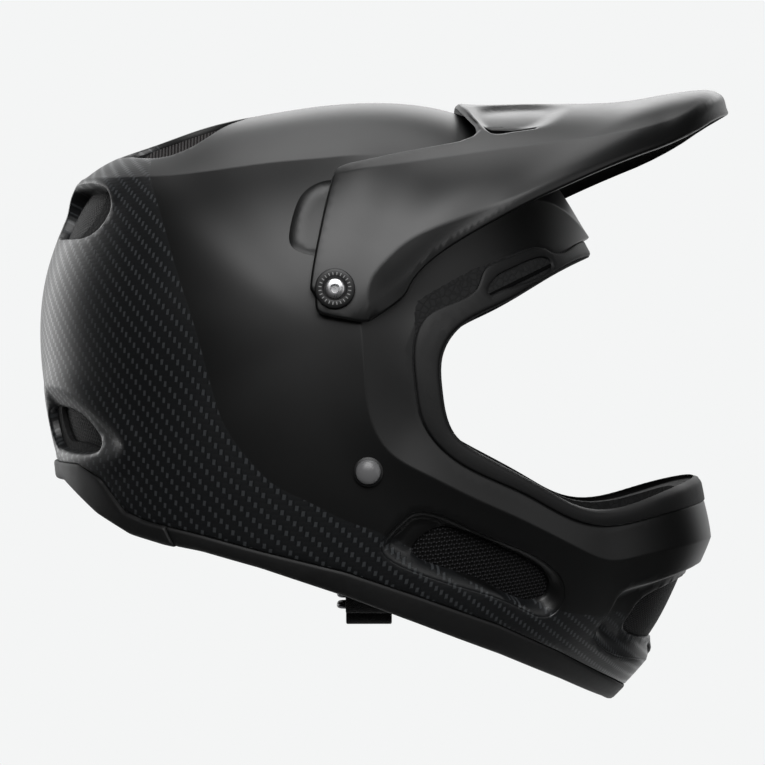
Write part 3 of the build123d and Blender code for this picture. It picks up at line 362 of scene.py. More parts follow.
class Dome:
    """The helmet's or the visor's form, with a flat pattern of one half of it.

    A pattern place at angle a and share t of the outline's reach R lies on the surface at distance
    R sin(t pi/2) ** (2/n) from the ear axis, and at depth W cos(t pi/2) ** (2/n) from the middle plane.
    """

    def __init__(self, shares, half_width, power):
        ring = closed_curve(np.array(shares) * (SHELL_LENGTH, SHELL_HEIGHT))
        angle = np.mod(np.arctan2(ring[:, 1], ring[:, 0]), 2 * np.pi)
        order = np.argsort(angle)
        self.angles = angle[order]
        self.reaches = np.hypot(ring[:, 0], ring[:, 1])[order]
        self.half_width = half_width
        self.power = power

    def reach(self, angle):
        """Distance of the outline from the ear axis."""
        return np.interp(np.mod(angle, 2 * np.pi), self.angles, self.reaches, period=2 * np.pi)

    def share(self, flat):
        """How far out pattern places lie, as a share of the outline's reach."""
        return np.hypot(flat[:, 0], flat[:, 1]) / self.reach(np.arctan2(flat[:, 1], flat[:, 0]))

    def flat(self, side):
        """Pattern places of side view places. What lies outside the outline keeps its share of the reach."""
        angle = np.arctan2(side[:, 1], side[:, 0])
        reach = self.reach(angle)
        share = np.hypot(side[:, 0], side[:, 1]) / reach
        within = 2 / np.pi * np.arcsin(np.minimum(share, 1) ** (self.power(angle) / 2))
        share = np.where(share < 1, within, share)
        return (share * reach)[:, None] * np.stack([np.cos(angle), np.sin(angle)], 1)

    def surface(self, flat, lift=0.0):
        """Places on the wearer's right half of the form, moved out by a lift."""
        angle = np.arctan2(flat[:, 1], flat[:, 0])
        reach = self.reach(angle)
        turn = np.clip(np.hypot(flat[:, 0], flat[:, 1]) / reach, 0, 1) * np.pi / 2
        n = self.power(angle)
        out = (reach + lift) * np.sin(turn) ** (2 / n)
        depth = (self.half_width + lift) * np.clip(np.cos(turn), 0, 1) ** (2 / n)
        depth = np.where(turn > np.pi / 2 - 1e-7, 0, depth)
        return np.stack([out * np.cos(angle), -depth, out * np.sin(angle)], 1)

    def from_behind(self, places):
        """Pattern places of places seen from behind, as depth and height."""
        return self._solve(places[:, 0], places[:, 1], 1, np.pi / 2, 3 * np.pi / 2)

    def from_above(self, places):
        """Pattern places of places seen from above, as depth and x."""
        return self._solve(places[:, 0], places[:, 1], 0, 0, np.pi)

    def _solve(self, depth, wanted, axis, low, high):
        """Pattern places from a depth and one side view coordinate, by halving a range of angles."""
        low, high = (np.full(len(depth), float(end)) for end in (low, high))
        wave = (np.cos, np.sin)[axis]

        def share(angle):
            n = self.power(angle)
            return np.clip(1 - (np.abs(depth) / self.half_width) ** n, 0, 1) ** (1 / n)

        for _ in range(HALVINGS):
            angle = (low + high) / 2
            above = self.reach(angle) * share(angle) * wave(angle) > wanted
            low, high = np.where(above, angle, low), np.where(above, high, angle)
        turn = 2 / np.pi * np.arcsin(share(angle) ** (self.power(angle) / 2))
        turn = np.where(depth < 0, 2 - turn, turn)
        return (turn * self.reach(angle))[:, None] * np.stack([np.cos(angle), np.sin(angle)], 1)


def visor_power(angle):
    """The visor is an ellipse over the ears and turns to a gabled arch towards the peak."""
    turned = angle - math.radians(14.0)
    away = np.arctan2(np.sin(turned), np.cos(turned)) / math.radians(26.0)
    return 2.25 - 0.45 * np.exp(-away ** 4)


hull = Dome(HULL_SHARES, 116.0, lambda angle: np.full_like(angle, 2.25))
visor_hull = Dome(VISOR_HULL_SHARES, 122.8, visor_power)


def evenly(line, spacing, closed=False):
    """A polyline resampled at an even spacing; a closed one is turned so that its inside lies to its left."""
    if closed:
        after = np.roll(line, -1, 0)
        if np.sum(line[:, 0] * after[:, 1] - line[:, 1] * after[:, 0]) < 0:
            line = line[::-1]
        line = np.vstack([line, line[:1]])
    line = along(line, lambda total: np.linspace(0, total, max(int(total / spacing), 2) + 1))
    return line[:-1] if closed else line


def shifted(dome, line, gap, closed=False):
    """A pattern line moved square to itself by a real distance: the surface's local stretch is measured first."""
    if closed:
        run = np.roll(line, -1, 0) - np.roll(line, 1, 0)
    else:
        run = np.gradient(line, axis=0)
    square = np.stack([-run[:, 1], run[:, 0]], 1) / np.maximum(np.linalg.norm(run, axis=1), 1e-9)[:, None]
    stretch = np.linalg.norm(dome.surface(line + square * 0.2) - dome.surface(line - square * 0.2), axis=1) / 0.4
    return line + square * (gap / np.clip(stretch, 0.5, 3.0))[:, None]


def skin(dome, drop, keep, lines, spacing, lift):
    """Mesh arrays of part of a dome: a triangulated flat pattern, with the height of each place over the form.

    drop and keep are closed pattern outlines, lines are pattern lines that edges follow, and lift gives the
    height over the form from pattern places and places on the form.
    """
    around = np.linspace(0, 2 * np.pi, int(2 * np.pi * 150 / spacing), endpoint=False)
    rim = dome.reach(around)[:, None] * np.stack([np.cos(around), np.sin(around)], 1)
    loops = [(evenly(outline, spacing * 0.6, True), True) for outline in drop + keep] + [(rim, True)]
    loops += [(evenly(line, spacing * 0.6), False) for line in lines]
    places = np.vstack([line for line, closed in loops])
    pairs = []
    start = 0
    for line, closed in loops:
        index = np.arange(len(line))
        after = (index + 1) % len(line)
        if not closed:
            index, after = index[:-1], after[:-1]
        pairs.append(np.stack([index, after], 1) + start)
        start += len(line)
    reach = np.abs(rim).max() + spacing
    columns, rows = np.meshgrid(np.arange(-reach, reach, spacing), np.arange(-reach, reach, spacing * 0.866))
    columns = columns + (np.arange(len(rows))[:, None] % 2) * spacing / 2
    grid = np.stack([columns.ravel(), rows.ravel()], 1)
    grid = grid[wanted(dome, grid, drop, keep, spacing)]
    near = np.full(len(grid), True)
    for low in range(0, len(grid), 1500):
        gaps = np.sum((grid[low:low + 1500, None] - places[None]) ** 2, axis=2).min(axis=1)
        near[low:low + 1500] = gaps > (0.5 * spacing) ** 2
    places = np.vstack([places, grid[near]])
    made = delaunay_2d_cdt([Vector(p) for p in places.tolist()], np.vstack(pairs).tolist(), [], 0, 1e-4, False)
    flat = np.array([tuple(v) for v in made[0]])
    faces = np.array([f for f in made[2] if len(f) == 3])
    faces = faces[wanted(dome, flat[faces].mean(axis=1), drop, keep, 0.0)]
    used, faces = np.unique(faces, return_inverse=True)
    flat, faces = flat[used], faces.reshape(-1, 3)
    a, b, c = (flat[faces[:, k]] for k in range(3))
    turned = (b[:, 0] - a[:, 0]) * (c[:, 1] - a[:, 1]) - (b[:, 1] - a[:, 1]) * (c[:, 0] - a[:, 0]) < 0
    faces[turned] = faces[turned][:, ::-1]
    height = lift(flat, dome.surface(flat))
    return flat, height, faces


def wanted(dome, places, drop, keep, beyond):
    """Which pattern places belong to a skin."""
    reach = dome.reach(np.arctan2(places[:, 1], places[:, 0]))
    found = np.hypot(places[:, 0], places[:, 1]) < reach + beyond
    for outline in keep:
        found &= inside(outline, places)
    for outline in drop:
        found &= ~inside(outline, places)
    return found


# Pattern outlines shared by several pieces
LOWER, BOTTOM = (hull.flat(straight(line, FINE)) for line in (LOWER_LINE, BOTTOM_LINE))
BAND, TRIM, EYE, CREASE, PAINT_EDGE = (hull.flat(open_curve(line, FINE)) for line in (
    BAND_EDGE, TRIM_EDGE, EYE_EDGE, CROWN_CREASE, WEAVE_EDGE))


def closed_by(line, *corners):
    """Closed pattern outline of a line and a far way back to its start, through corners in the side view."""
    return evenly(np.vstack([line, hull.flat(straight(corners, 5))]), LOOP_STEP, True)


def below(line, side_line):
    """Closed pattern outline of all that lies below an edge line."""
    return closed_by(line, side_line[-1], (260, -FAR), (-260, -FAR), side_line[0])


def in_front(line, side_line, far=FAR):
    """Closed pattern outline of all that lies in front of an edge line."""
    return closed_by(line, side_line[-1], (far, side_line[-1][1]), (far, side_line[0][1]), side_line[0])


def ring(places):
    """Closed pattern outline of pattern places."""
    return evenly(places, LOOP_STEP, True)


def corner_cut(points):
    """The outline of a rear vent: its corners are cut and its sides are straight."""
    return ring(hull.from_behind(straight(rounded(points), 0.4, closed=True)))


UNDER_SHELL, UNDER_TRIM = below(LOWER, LOWER_LINE), below(BOTTOM, BOTTOM_LINE)
BAND_FRONT, TRIM_FRONT, EYE_FRONT = in_front(BAND, BAND_EDGE), in_front(TRIM, TRIM_EDGE), in_front(EYE, EYE_EDGE)
CHIN_RECESS_LOOP, CHIN_HOLE_LOOP = (ring(hull.flat(closed_curve(line, 1500))) for line in (CHIN_RECESS, CHIN_HOLE))
FRONT_RECESS_LOOP, FRONT_HOLE_LOOP = (in_front(hull.flat(open_curve(line, FINE)), line, 300)
                                      for line in (FRONT_RECESS, FRONT_HOLE))
REAR_LOWER_LOOP, REAR_UPPER_LOOP = corner_cut(REAR_LOWER), corner_cut(REAR_UPPER)
CROWN_VENT_LOOP = ring(hull.from_above(closed_curve(CROWN_VENT, 900)))
BROW_SLOT_LOOP = ring(hull.flat(closed_curve(BROW_SLOT, 600)))
DISH_LOOP = ring(hull.flat(rounded(SIDE_DISH)))
REAR_DISH_LOOP = ring(hull.from_behind(rounded(REAR_DISH)))
WEAVE_BACK = closed_by(PAINT_EDGE, (260, -FAR), (-FAR, -FAR), (-FAR, FAR), (-92, FAR))


def surface_line(line, dome=hull):
    """The part of a pattern line that lies on the form, as places in space."""
    return dome.surface(evenly(line[dome.share(line) < 1.02], 2.0))


def loop_places(loop, dome=hull):
    """A closed pattern outline as places on the form."""
    line = np.vstack([loop, loop[:1]])
    return dome.surface(line[dome.share(line) < 1.03])


def make_mesh(name, vertices, faces, material, pattern=None, fields=None):
    """A mesh object from arrays in millimetres; pattern is a UV map per vertex, fields are named vertex values."""
    mesh = bpy.data.meshes.new(name)
    mesh.from_pydata((vertices * MM).tolist(), [], faces.tolist())
    mesh.update()
    if pattern is not None:
        loops = np.zeros(len(mesh.loops), np.int32)
        mesh.loops.foreach_get("vertex_index", loops)
        layer = mesh.uv_layers.new(name="pattern")
        layer.data.foreach_set("uv", (pattern[loops] * MM).astype(np.float32).ravel())
    for key, values in (fields or {}).items():
        mesh.attributes.new(key, "FLOAT", "POINT").data.foreach_set("value", values.astype(np.float32))
    mesh.materials.append(material)
    mesh.polygons.foreach_set("use_smooth", np.ones(len(mesh.polygons), bool))
    shape = bpy.data.objects.new(name, mesh)
    bpy.context.scene.collection.objects.link(shape)
    return shape


def cleaned(shape, gap=None, outwards=True):
    """Joins places that are closer than a gap, and turns all faces outwards."""
    work = bmesh.new()
    work.from_mesh(shape.data)
    if gap:
        bmesh.ops.remove_doubles(work, verts=work.verts, dist=gap * MM)
    if outwards:
        bmesh.ops.recalc_face_normals(work, faces=work.faces)
    work.to_mesh(shape.data)
    work.free()


def tube_faces(rings, sides):
    """Triangles between rings of places, each ring joined to the next."""
    a = np.arange(rings - 1)[:, None] * sides + np.arange(sides)
    b = np.arange(rings - 1)[:, None] * sides + (np.arange(sides) + 1) % sides
    quads = np.stack([a, a + sides, b + sides, b], 2).reshape(-1, 4)
    return np.vstack([quads[:, [0, 1, 2]], quads[:, [0, 2, 3]]])


def sharp_by_angle(shape, degrees):
    """Edges steeper than an angle stay sharp."""
    shape.data.set_sharp_from_angle(angle=math.radians(degrees))


def apply_modifiers(shape):
    """Leaves the shape's modifiers applied to its mesh."""
    graph = bpy.context.evaluated_depsgraph_get()
    made = bpy.data.meshes.new_from_object(shape.evaluated_get(graph), depsgraph=graph)
    old = shape.data
    shape.modifiers.clear()
    shape.data = made
    bpy.data.meshes.remove(old)


# Materials
class Value:
    """A number in a shader. Signs and calls on it make Math nodes, as in value("LESS_THAN", 0.5)."""

    def __init__(self, tree, socket):
        self.tree, self.socket = tree, socket

    def __call__(self, operation, other=None, clamp=False):
        inputs = {0: self} if other is None else {0: self, 1: other}
        return Value(self.tree, node(self.tree, "Math", inputs, operation=operation, use_clamp=clamp).outputs[0])

    def __add__(self, other):
        return self("ADD", other)

    def __sub__(self, other):
        return self("SUBTRACT", other)

    def __mul__(self, other):
        return self("MULTIPLY", other)

    def between(self, low, high, first=0.0, last=1.0):
        """The value's place between two limits, spread from first to last."""
        limits = {"From Min": low, "From Max": high, "To Min": first, "To Max": last}
        return Value(self.tree, node(self.tree, "MapRange", {**limits, "Value": self}).outputs["Result"])

    def ripples(self, pitch):
        """A wave from 0 to 1 along the value."""
        return (self * (2 * math.pi / pitch))("SINE") * 0.5 + 0.5


def feed(tree, value, socket):
    """Links a value to a socket, or sets it there where it is a plain number or colour."""
    value = value.socket if isinstance(value, Value) else value
    if isinstance(value, bpy.types.NodeSocket):
        tree.links.new(value, socket)
    else:
        socket.default_value = value


def node(tree, kind, inputs=None, **values):
    """A shader node with its properties and its inputs set."""
    made = tree.nodes.new("ShaderNode" + kind)
    for key, value in values.items():
        setattr(made, key, value)
    for key, value in (inputs or {}).items():
        feed(tree, value, made.inputs[key])
    return made


def new_material(name, colour, roughness, metallic=0.0, sheen=0.0, specular=0.5):
    """A material with plain values on its shader's own sockets."""
    material = bpy.data.materials.new(name)
    material.use_nodes = True
    shader = material.node_tree.nodes["Principled BSDF"]
    for key, value in (("Base Color", (*colour, 1)), ("Roughness", roughness), ("Metallic", metallic),
                       ("Sheen Weight", sheen), ("Specular IOR Level", specular)):
        shader.inputs[key].default_value = value
    return material, material.node_tree, shader


def scaled(colour, factor):
    """A colour made darker or lighter."""
    return tuple(factor * c for c in colour)


def blend_colours(tree, share, first, second):
    """A colour between two, by a share."""
    mixed = node(tree, "Mix", {"Factor": share}, data_type="RGBA")
    for key, value in (("A", first), ("B", second)):
        socket = [s for s in mixed.inputs if s.name == key and s.type == "RGBA"][0]
        feed(tree, (*value, 1) if isinstance(value, tuple) else value, socket)
    return [s for s in mixed.outputs if s.type == "RGBA"][0]


def tint(tree, shader, share, first, second):
    """Base colour between two colours, by a share."""
    feed(tree, blend_colours(tree, share, first, second), shader.inputs["Base Color"])


def object_place(tree):
    """The object's own coordinates."""
    return node(tree, "TexCoord").outputs["Object"]


def axes(tree, source):
    """X, Y and Z of a vector."""
    return [Value(tree, socket) for socket in node(tree, "SeparateXYZ", {"Vector": source}).outputs]


def pattern_axes(tree):
    """Both axes of the pattern map."""
    return axes(tree, node(tree, "UVMap", uv_map="pattern").outputs["UV"])[:2]


def grain(tree, scale, detail=2.0, roughness=0.6):
    """Fine noise over the object's own coordinates."""
    noise = node(tree, "TexNoise", {"Scale": scale, "Detail": detail, "Roughness": roughness,
                                    "Vector": object_place(tree)})
    return Value(tree, noise.outputs["Fac"])


def cells(tree, feature, inputs):
    """Distance in a cell pattern over the object's own coordinates."""
    made = node(tree, "TexVoronoi", {**inputs, "Vector": object_place(tree)}, feature=feature)
    return Value(tree, made.outputs["Distance"])


def bump(tree, shader, height, strength, depth):
    """Bump of a height, its depth in metres."""
    made = node(tree, "Bump", {"Strength": strength, "Distance": depth, "Height": height})
    feed(tree, made.outputs["Normal"], shader.inputs["Normal"])


def vary_roughness(tree, shader, source, low, high):
    """Roughness that follows a noise between two limits."""
    feed(tree, source.between(0.3, 0.7, low, high), shader.inputs["Roughness"])


def satin_paint(name, colour, roughness):
    """Satin black paint: a faint orange peel and slightly uneven gloss."""
    material, tree, shader = new_material(name, colour, roughness)
    vary_roughness(tree, shader, grain(tree, 28.0, 4.0), roughness - 0.03, roughness + 0.03)
    bump(tree, shader, grain(tree, PEEL), 0.12, PEEL_DEPTH)
    return material


def moulded(name, colour, roughness, pitch=1400.0, strength=0.35):
    """Moulded plastic, rubber or foam skin: fine leathery grain and a little mottle."""
    material, tree, shader = new_material(name, colour, roughness, specular=0.4)
    cloud = grain(tree, 35.0, 4.0)
    tint(tree, shader, cloud, scaled(colour, 0.8), scaled(colour, 1.2))
    vary_roughness(tree, shader, cloud, roughness - 0.05, roughness + 0.05)
    bump(tree, shader, grain(tree, pitch, 4.0), strength, 0.00015)
    return material


def bead_foam(name, colour):
    """Bead foam: cells of pressed beads, a few millimetres across."""
    material, tree, shader = new_material(name, colour, 0.8, specular=0.3)
    edge = cells(tree, "DISTANCE_TO_EDGE", {"Scale": 330.0})("MULTIPLY", 5.0, clamp=True)
    # Darker along the cell edges, where the bump sinks between the beads: painted shade in the grooves
    tint(tree, shader, edge, scaled(colour, 0.55), colour)
    bump(tree, shader, edge, 0.5, 0.0003)
    return material


def twill_cells(tree, width, height):
    """2 by 1 twill from the pattern map: where the upright yarn is on top, and the roundness across both yarns.

    Yarns run along both pattern axes. In cell (i, j) the upright yarn is on top where (i + j) mod 3 is 0.
    """
    x, y = pattern_axes(tree)
    first, second = (x + y * -0.15) * (1 / width), y * (1 / height)
    on_top = (first("FLOOR") + second("FLOOR"))("FLOORED_MODULO", 3.0)("LESS_THAN", 0.5)
    shares = [yarn("FRACT") for yarn in (first, second)]
    return on_top, *(share * (share * -1.0 + 1.0) * 4.0 for share in shares)


def carbon_shell(name, colour):
    """Satin black over carbon twill: behind the painted edge the woven layer shows through a satin clear coat. The
    twill pattern is the carbon's own; the lighter crowns of the yarn on top are a painted highlight.
    """
    material, tree, shader = new_material(name, colour, 0.4)
    on_top, across, upright = twill_cells(tree, 0.0019, 0.0016)
    height = node(tree, "Mix", {"Factor": on_top, "A": upright, "B": across}, data_type="FLOAT").outputs["Result"]
    # Weave colour: dark carbon, with a painted highlight along the crown of each yarn that lies on top
    weave_with_painted_highlight = blend_colours(tree, on_top * across.between(0.62, 0.86), (0.0062, 0.0068, 0.0076), (0.042, 0.045, 0.048))
    shown = Value(tree, node(tree, "Attribute", attribute_name="weave").outputs["Fac"]).between(-0.25, 0.25)
    tint(tree, shader, shown, colour, weave_with_painted_highlight)
    rough = grain(tree, 28.0, 4.0) * 0.06 + 0.37
    feed(tree, rough - on_top * shown * 0.10, shader.inputs["Roughness"])
    bump(tree, shader, Value(tree, height) * shown + grain(tree, PEEL) * 0.25, 0.25, PEEL_DEPTH)
    return material


def net_material(name, colour, pitch):
    """Fine net: round gaps in offset rows of the pattern map, painted dark inside as shade seen through them, with a
    painted glint where threads meet.
    """
    material, tree, shader = new_material(name, colour, 0.6, specular=0.15)
    x, y = pattern_axes(tree)
    row = y * (1 / (pitch * ROW_SHARE))
    column = x * (1 / pitch) + row("FLOOR")("FLOORED_MODULO", 2.0) * 0.5
    a, b = column("FRACT") - 0.5, (row("FRACT") - 0.5) * ROW_SHARE
    far = (a * a + b * b)("SQRT")
    thread = far.between(0.26, 0.36)
    # The gaps are painted dark: painted shade of the dark inside seen through the net
    threads = blend_colours(tree, thread, scaled(colour, 0.2), colour)
    # A painted glint, 14 times the thread colour, where the threads meet
    tint(tree, shader, far.between(0.49, 0.55), threads, scaled(colour, 14))
    bump(tree, shader, thread, 0.8, 0.0004)
    return material


def cloth_material(name, colour, pitch):
    """Knitted lining: small offset loops over the object's coordinates, with a soft sheen."""
    material, tree, shader = new_material(name, colour, 0.85, sheen=0.35, specular=0.25)
    tint(tree, shader, grain(tree, 60.0, 5.0), scaled(colour, 0.7), scaled(colour, 1.35))
    bump(tree, shader, cells(tree, "F1", {"Scale": 1 / pitch, "Randomness": 0.35}), 0.6, 0.0004)
    return material


def webbing_material(name, colour):
    """Woven webbing from its pattern map: slanting ribs across the width, mirrored at its middle."""
    material, tree, shader = new_material(name, colour, 0.8, specular=0.12)
    x, y = pattern_axes(tree)
    ribs = (x + y("ABSOLUTE")).ripples(RIB_PITCH)
    # Lighter on the crests of the ribs and darker between them: painted highlight and painted shade over the webbing's
    # own colour
    tint(tree, shader, ribs, scaled(colour, 0.5), scaled(colour, 1.5))
    bump(tree, shader, ribs, 0.5, 0.0003)
    return material


def metal_material(name, colour, roughness):
    """Plain metal whose gloss varies with small scratches."""
    material, tree, shader = new_material(name, colour, roughness, metallic=1.0)
    scratch = grain(tree, 700.0, 6.0, 0.8)
    vary_roughness(tree, shader, scratch, roughness - 0.06, roughness + 0.1)
    bump(tree, shader, scratch, 0.1, 0.00005)
    return material


def slot_shade_plastic(name, colour):
    """Dull plastic at the bottom of deep slots, its colour darker than the other plastic: the plastic's own black with
    painted shade of the deep slot.
    """
    material, tree, shader = new_material(name, colour, 0.85, specular=0.08)
    bump(tree, shader, grain(tree, PEEL), 0.2, PEEL_DEPTH)
    return material


def ribbed_plastic(name, colour):
    """Moulded plastic with fine ribs across the helmet, one after the other along X."""
    material, tree, shader = new_material(name, colour, 0.5, specular=0.4)
    ribs = axes(tree, object_place(tree))[0].ripples(RIB_PITCH)
    # Darker between the ribs: painted shade in their grooves
    tint(tree, shader, ribs, scaled(colour, 0.25), colour)
    bump(tree, shader, ribs, 0.7, 0.0005)
    return material


def washer_material(name, colour):
    """Satin washer with plain tick marks round its face, from the angle and distance about its screw."""
    material, tree, shader = new_material(name, colour, 0.42)
    x, z = SCREW_PLACE
    centre = node(tree, "Mapping", {"Location": (-x * MM, 0, -z * MM), "Vector": object_place(tree)})
    x, _, z = axes(tree, centre.outputs["Vector"])
    tick = ((z("ARCTAN2", x) * (TICKS / (2 * math.pi)))("FRACT") - 0.5)("ABSOLUTE")("LESS_THAN", 0.12)
    far = (x * x + z * z)("SQRT")
    mark = tick * (far("GREATER_THAN", 0.0062) * far("LESS_THAN", 0.0076))
    tint(tree, shader, mark, colour, (0.3, 0.3, 0.3))
    bump(tree, shader, grain(tree, PEEL), 0.15, PEEL_DEPTH)
    return material


# Mesh assembly
def both_halves(raised, faces):
    """A half and its mirror image, sharing the places on the middle plane; also each place's source."""
    count = len(raised)
    on_plane = np.abs(raised[:, 1]) < 1e-6
    faces = faces[~on_plane[faces].all(axis=1)]
    index = np.where(on_plane, np.arange(count), count + np.cumsum(~on_plane) - 1)
    source = np.concatenate([np.arange(count), np.flatnonzero(~on_plane)])
    vertices = np.vstack([raised, raised[~on_plane] * (1, -1, 1)])
    return vertices, np.vstack([faces, index[faces][:, ::-1]]), source


def closed_wall(outer, inner, faces):
    """A closed body from an outer and an inner surface with the same faces, joined along their open edges."""
    count = len(outer)
    edges = np.vstack([faces[:, [0, 1]], faces[:, [1, 2]], faces[:, [2, 0]]])
    keys = np.sort(edges, axis=1)
    _, first, times = np.unique(keys, axis=0, return_index=True, return_counts=True)
    a, b = edges[first[times == 1]].T
    rim = np.vstack([np.stack([b, a, a + count], 1), np.stack([b, a + count, b + count], 1)])
    return np.vstack([outer, inner]), np.vstack([faces, faces[:, ::-1] + count, rim])


def panel(name, dome, drop, keep, lines, spacing, lift, thick, material, fields=None, sharp=38.0):
    """A walled piece of the form: its skin, the same skin drawn in by its thickness, and the rim between them.

    A lift or a thickness may be one number, or a function of the pattern places and the places on the form.
    """
    if not callable(lift):
        rise = lift

        def lift(flat, form):
            return np.full(len(flat), rise)

    flat, height, faces = skin(dome, drop, keep, lines, spacing, lift)
    depth = thick(flat, dome.surface(flat)) if callable(thick) else np.full(len(flat), thick)
    inner = dome.surface(flat, np.minimum(-depth, height - 0.6 * WALL))
    outer, faces, source = both_halves(dome.surface(flat, height), faces)
    inner = np.vstack([inner, (inner * (1, -1, 1))[source[len(flat):]]])
    vertices, faces = closed_wall(outer, inner, faces)
    values = {key: np.tile(field(flat)[source], 2) for key, field in (fields or {}).items()}
    shape = make_mesh(name, vertices, faces, material, np.tile(flat[source], (2, 1)), values)
    sharp_by_angle(shape, sharp)
    return shape


def dress(shape, body, slot, *nodes):
    """The piece rides on its body and stands for its solids, which it hides; slot is not used."""
    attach(shape, body)
    if nodes:
        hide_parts(*nodes)


def offsets(dome, line, gaps, closed=False):
    """Several copies of a pattern line, each moved by a gap."""
    return [shifted(dome, evenly(line, 1.2, closed), gap, closed) for gap in gaps]


BAND_PLACES, TRIM_PLACES, EYE_PLACES, LOWER_PLACES, BOTTOM_PLACES, CREASE_PLACES, PAINT_PLACES = (
    surface_line(line) for line in (BAND, TRIM, EYE, LOWER, BOTTOM, CREASE, PAINT_EDGE))
# Holes in the shell, each with the radius of its rounded edge
SHELL_HOLES = ((CHIN_RECESS_LOOP, 0.5), (FRONT_RECESS_LOOP, 0.5), (CROWN_VENT_LOOP, 1.4), (REAR_LOWER_LOOP, 1.8),
               (REAR_UPPER_LOOP, 1.5))


def shell_lift(flat, form):
    """Height of the shell over the plain form: raised frame, crown crease, dishes and rounded edges."""
    away = distance(form, BAND_PLACES)
    face = inside(BAND_FRONT, flat)
    lift = np.where(face, BAND_FOOT + (BAND_RISE - BAND_FOOT) * fall(away, BAND_REACH[0]),
                    BAND_RISE * fall(away, BAND_REACH[1]))
    away = distance(form, CREASE_PLACES)
    above = form[:, 2] > np.interp(form[:, 0], CREASE_PLACES[:, 0], CREASE_PLACES[:, 2])
    fade = ramp(form[:, 0], -140, -118) * (1 - ramp(form[:, 0], 6, 34))
    lift += fade * CROWN_CREASE_RISE * fall(away, np.where(above, *CROWN_CREASE_REACH))
    near = distance(form, loop_places(DISH_LOOP))
    lift -= SIDE_DISH_DEPTH * ramp(near, 0.0, SIDE_DISH_SLOPE) * inside(DISH_LOOP, flat)
    sunk = inside(REAR_DISH_LOOP, flat) & (form[:, 0] < 0)
    slope = ramp(distance(form, loop_places(REAR_DISH_LOOP)), 0.0, REAR_DISH_SLOPE)
    rear = form[:, 0] < REAR_START
    lift += np.where(sunk, REAR_RIM_RISE - REAR_DISH_DEPTH * slope, REAR_RIM_RISE * (1 - slope)) * rear
    roof = 1 - ramp(distance(form, loop_places(REAR_UPPER_LOOP)), 0.0, REAR_ROOF_SLOPE)
    lift += REAR_ROOF_RISE * roof * ramp(form[:, 2], 60, 70) * rear
    for loop, radius in SHELL_HOLES:
        lift -= edge_round(distance(form, loop_places(loop)), radius)
    return lift - (edge_round(distance(form, LOWER_PLACES), SHELL_ROUND)
                   + edge_round(distance(form, TRIM_PLACES), SHELL_ROUND))


def shell_depth(flat, form):
    """Thickness of the shell: its wall, with a deeper collar round the rear vents."""
    away = np.minimum(distance(form, loop_places(REAR_UPPER_LOOP)), distance(form, loop_places(REAR_LOWER_LOOP)))
    return WALL + COLLAR * (1 - ramp(away, 1.0, 3.0))


def weave_field(flat):
    """Signed distance from the painted edge, in millimetres: over 0 where the woven layer shows."""
    away = distance(hull.surface(flat), PAINT_PLACES)
    return np.where(inside(WEAVE_BACK, flat), away, -away)


def build_shell(spacing, material):
    """The outer shell with its raised frame."""
    lines = offsets(hull, BAND, (0.0, 0.7, -0.7)) + offsets(hull, CREASE, (0.0, 0.8, -0.8))
    lines += offsets(hull, LOWER, (0.3, SHELL_ROUND)) + offsets(hull, TRIM, (-0.3, -SHELL_ROUND))
    lines += offsets(hull, DISH_LOOP, (0.0, -1.5, 1.5), True) + offsets(hull, REAR_DISH_LOOP, (0.0, 1.5, -1.5), True)
    for loop, radius in SHELL_HOLES:
        lines += offsets(hull, loop, (0.35 * radius, radius, -0.35 * radius, -radius), True)
    drop = [UNDER_SHELL, TRIM_FRONT, CHIN_RECESS_LOOP, FRONT_RECESS_LOOP, REAR_LOWER_LOOP, CROWN_VENT_LOOP,
            REAR_UPPER_LOOP]
    shape = panel("shell", hull, drop, [], lines, spacing, shell_lift, shell_depth, material, {"weave": weave_field})
    dress(shape, "helmet", "shell_paint", "outer_shell")


def build_face_trim(spacing, material):
    """The soft trim round the face opening, with its brow slots."""
    outer = in_front(shifted(hull, evenly(TRIM, 1.0), GAP), TRIM_EDGE)
    slot_places = loop_places(BROW_SLOT_LOOP)

    def lift(flat, form):
        edges = edge_round(distance(form, EYE_PLACES), EYE_ROUND) + edge_round(distance(form, TRIM_PLACES), TRIM_ROUND)
        return TRIM_RISE - edges - edge_round(distance(form, slot_places), SLOT_ROUND)

    lines = offsets(hull, EYE, (-0.5, -1.2, -EYE_ROUND)) + offsets(hull, TRIM, (0.7, TRIM_ROUND))
    lines += offsets(hull, BROW_SLOT_LOOP, (0.5, SLOT_ROUND, -0.5, -SLOT_ROUND), True)
    shape = panel("face_trim", hull, [EYE_FRONT, BROW_SLOT_LOOP], [outer], lines, spacing, lift, WALL, material)
    dress(shape, "helmet", "soft_trim", "eyeport_trim")


SEAM = ((-83.3, -79.7), (-75.9, -88.5), (-69.3, -101.8), (-64.9, -112.1))


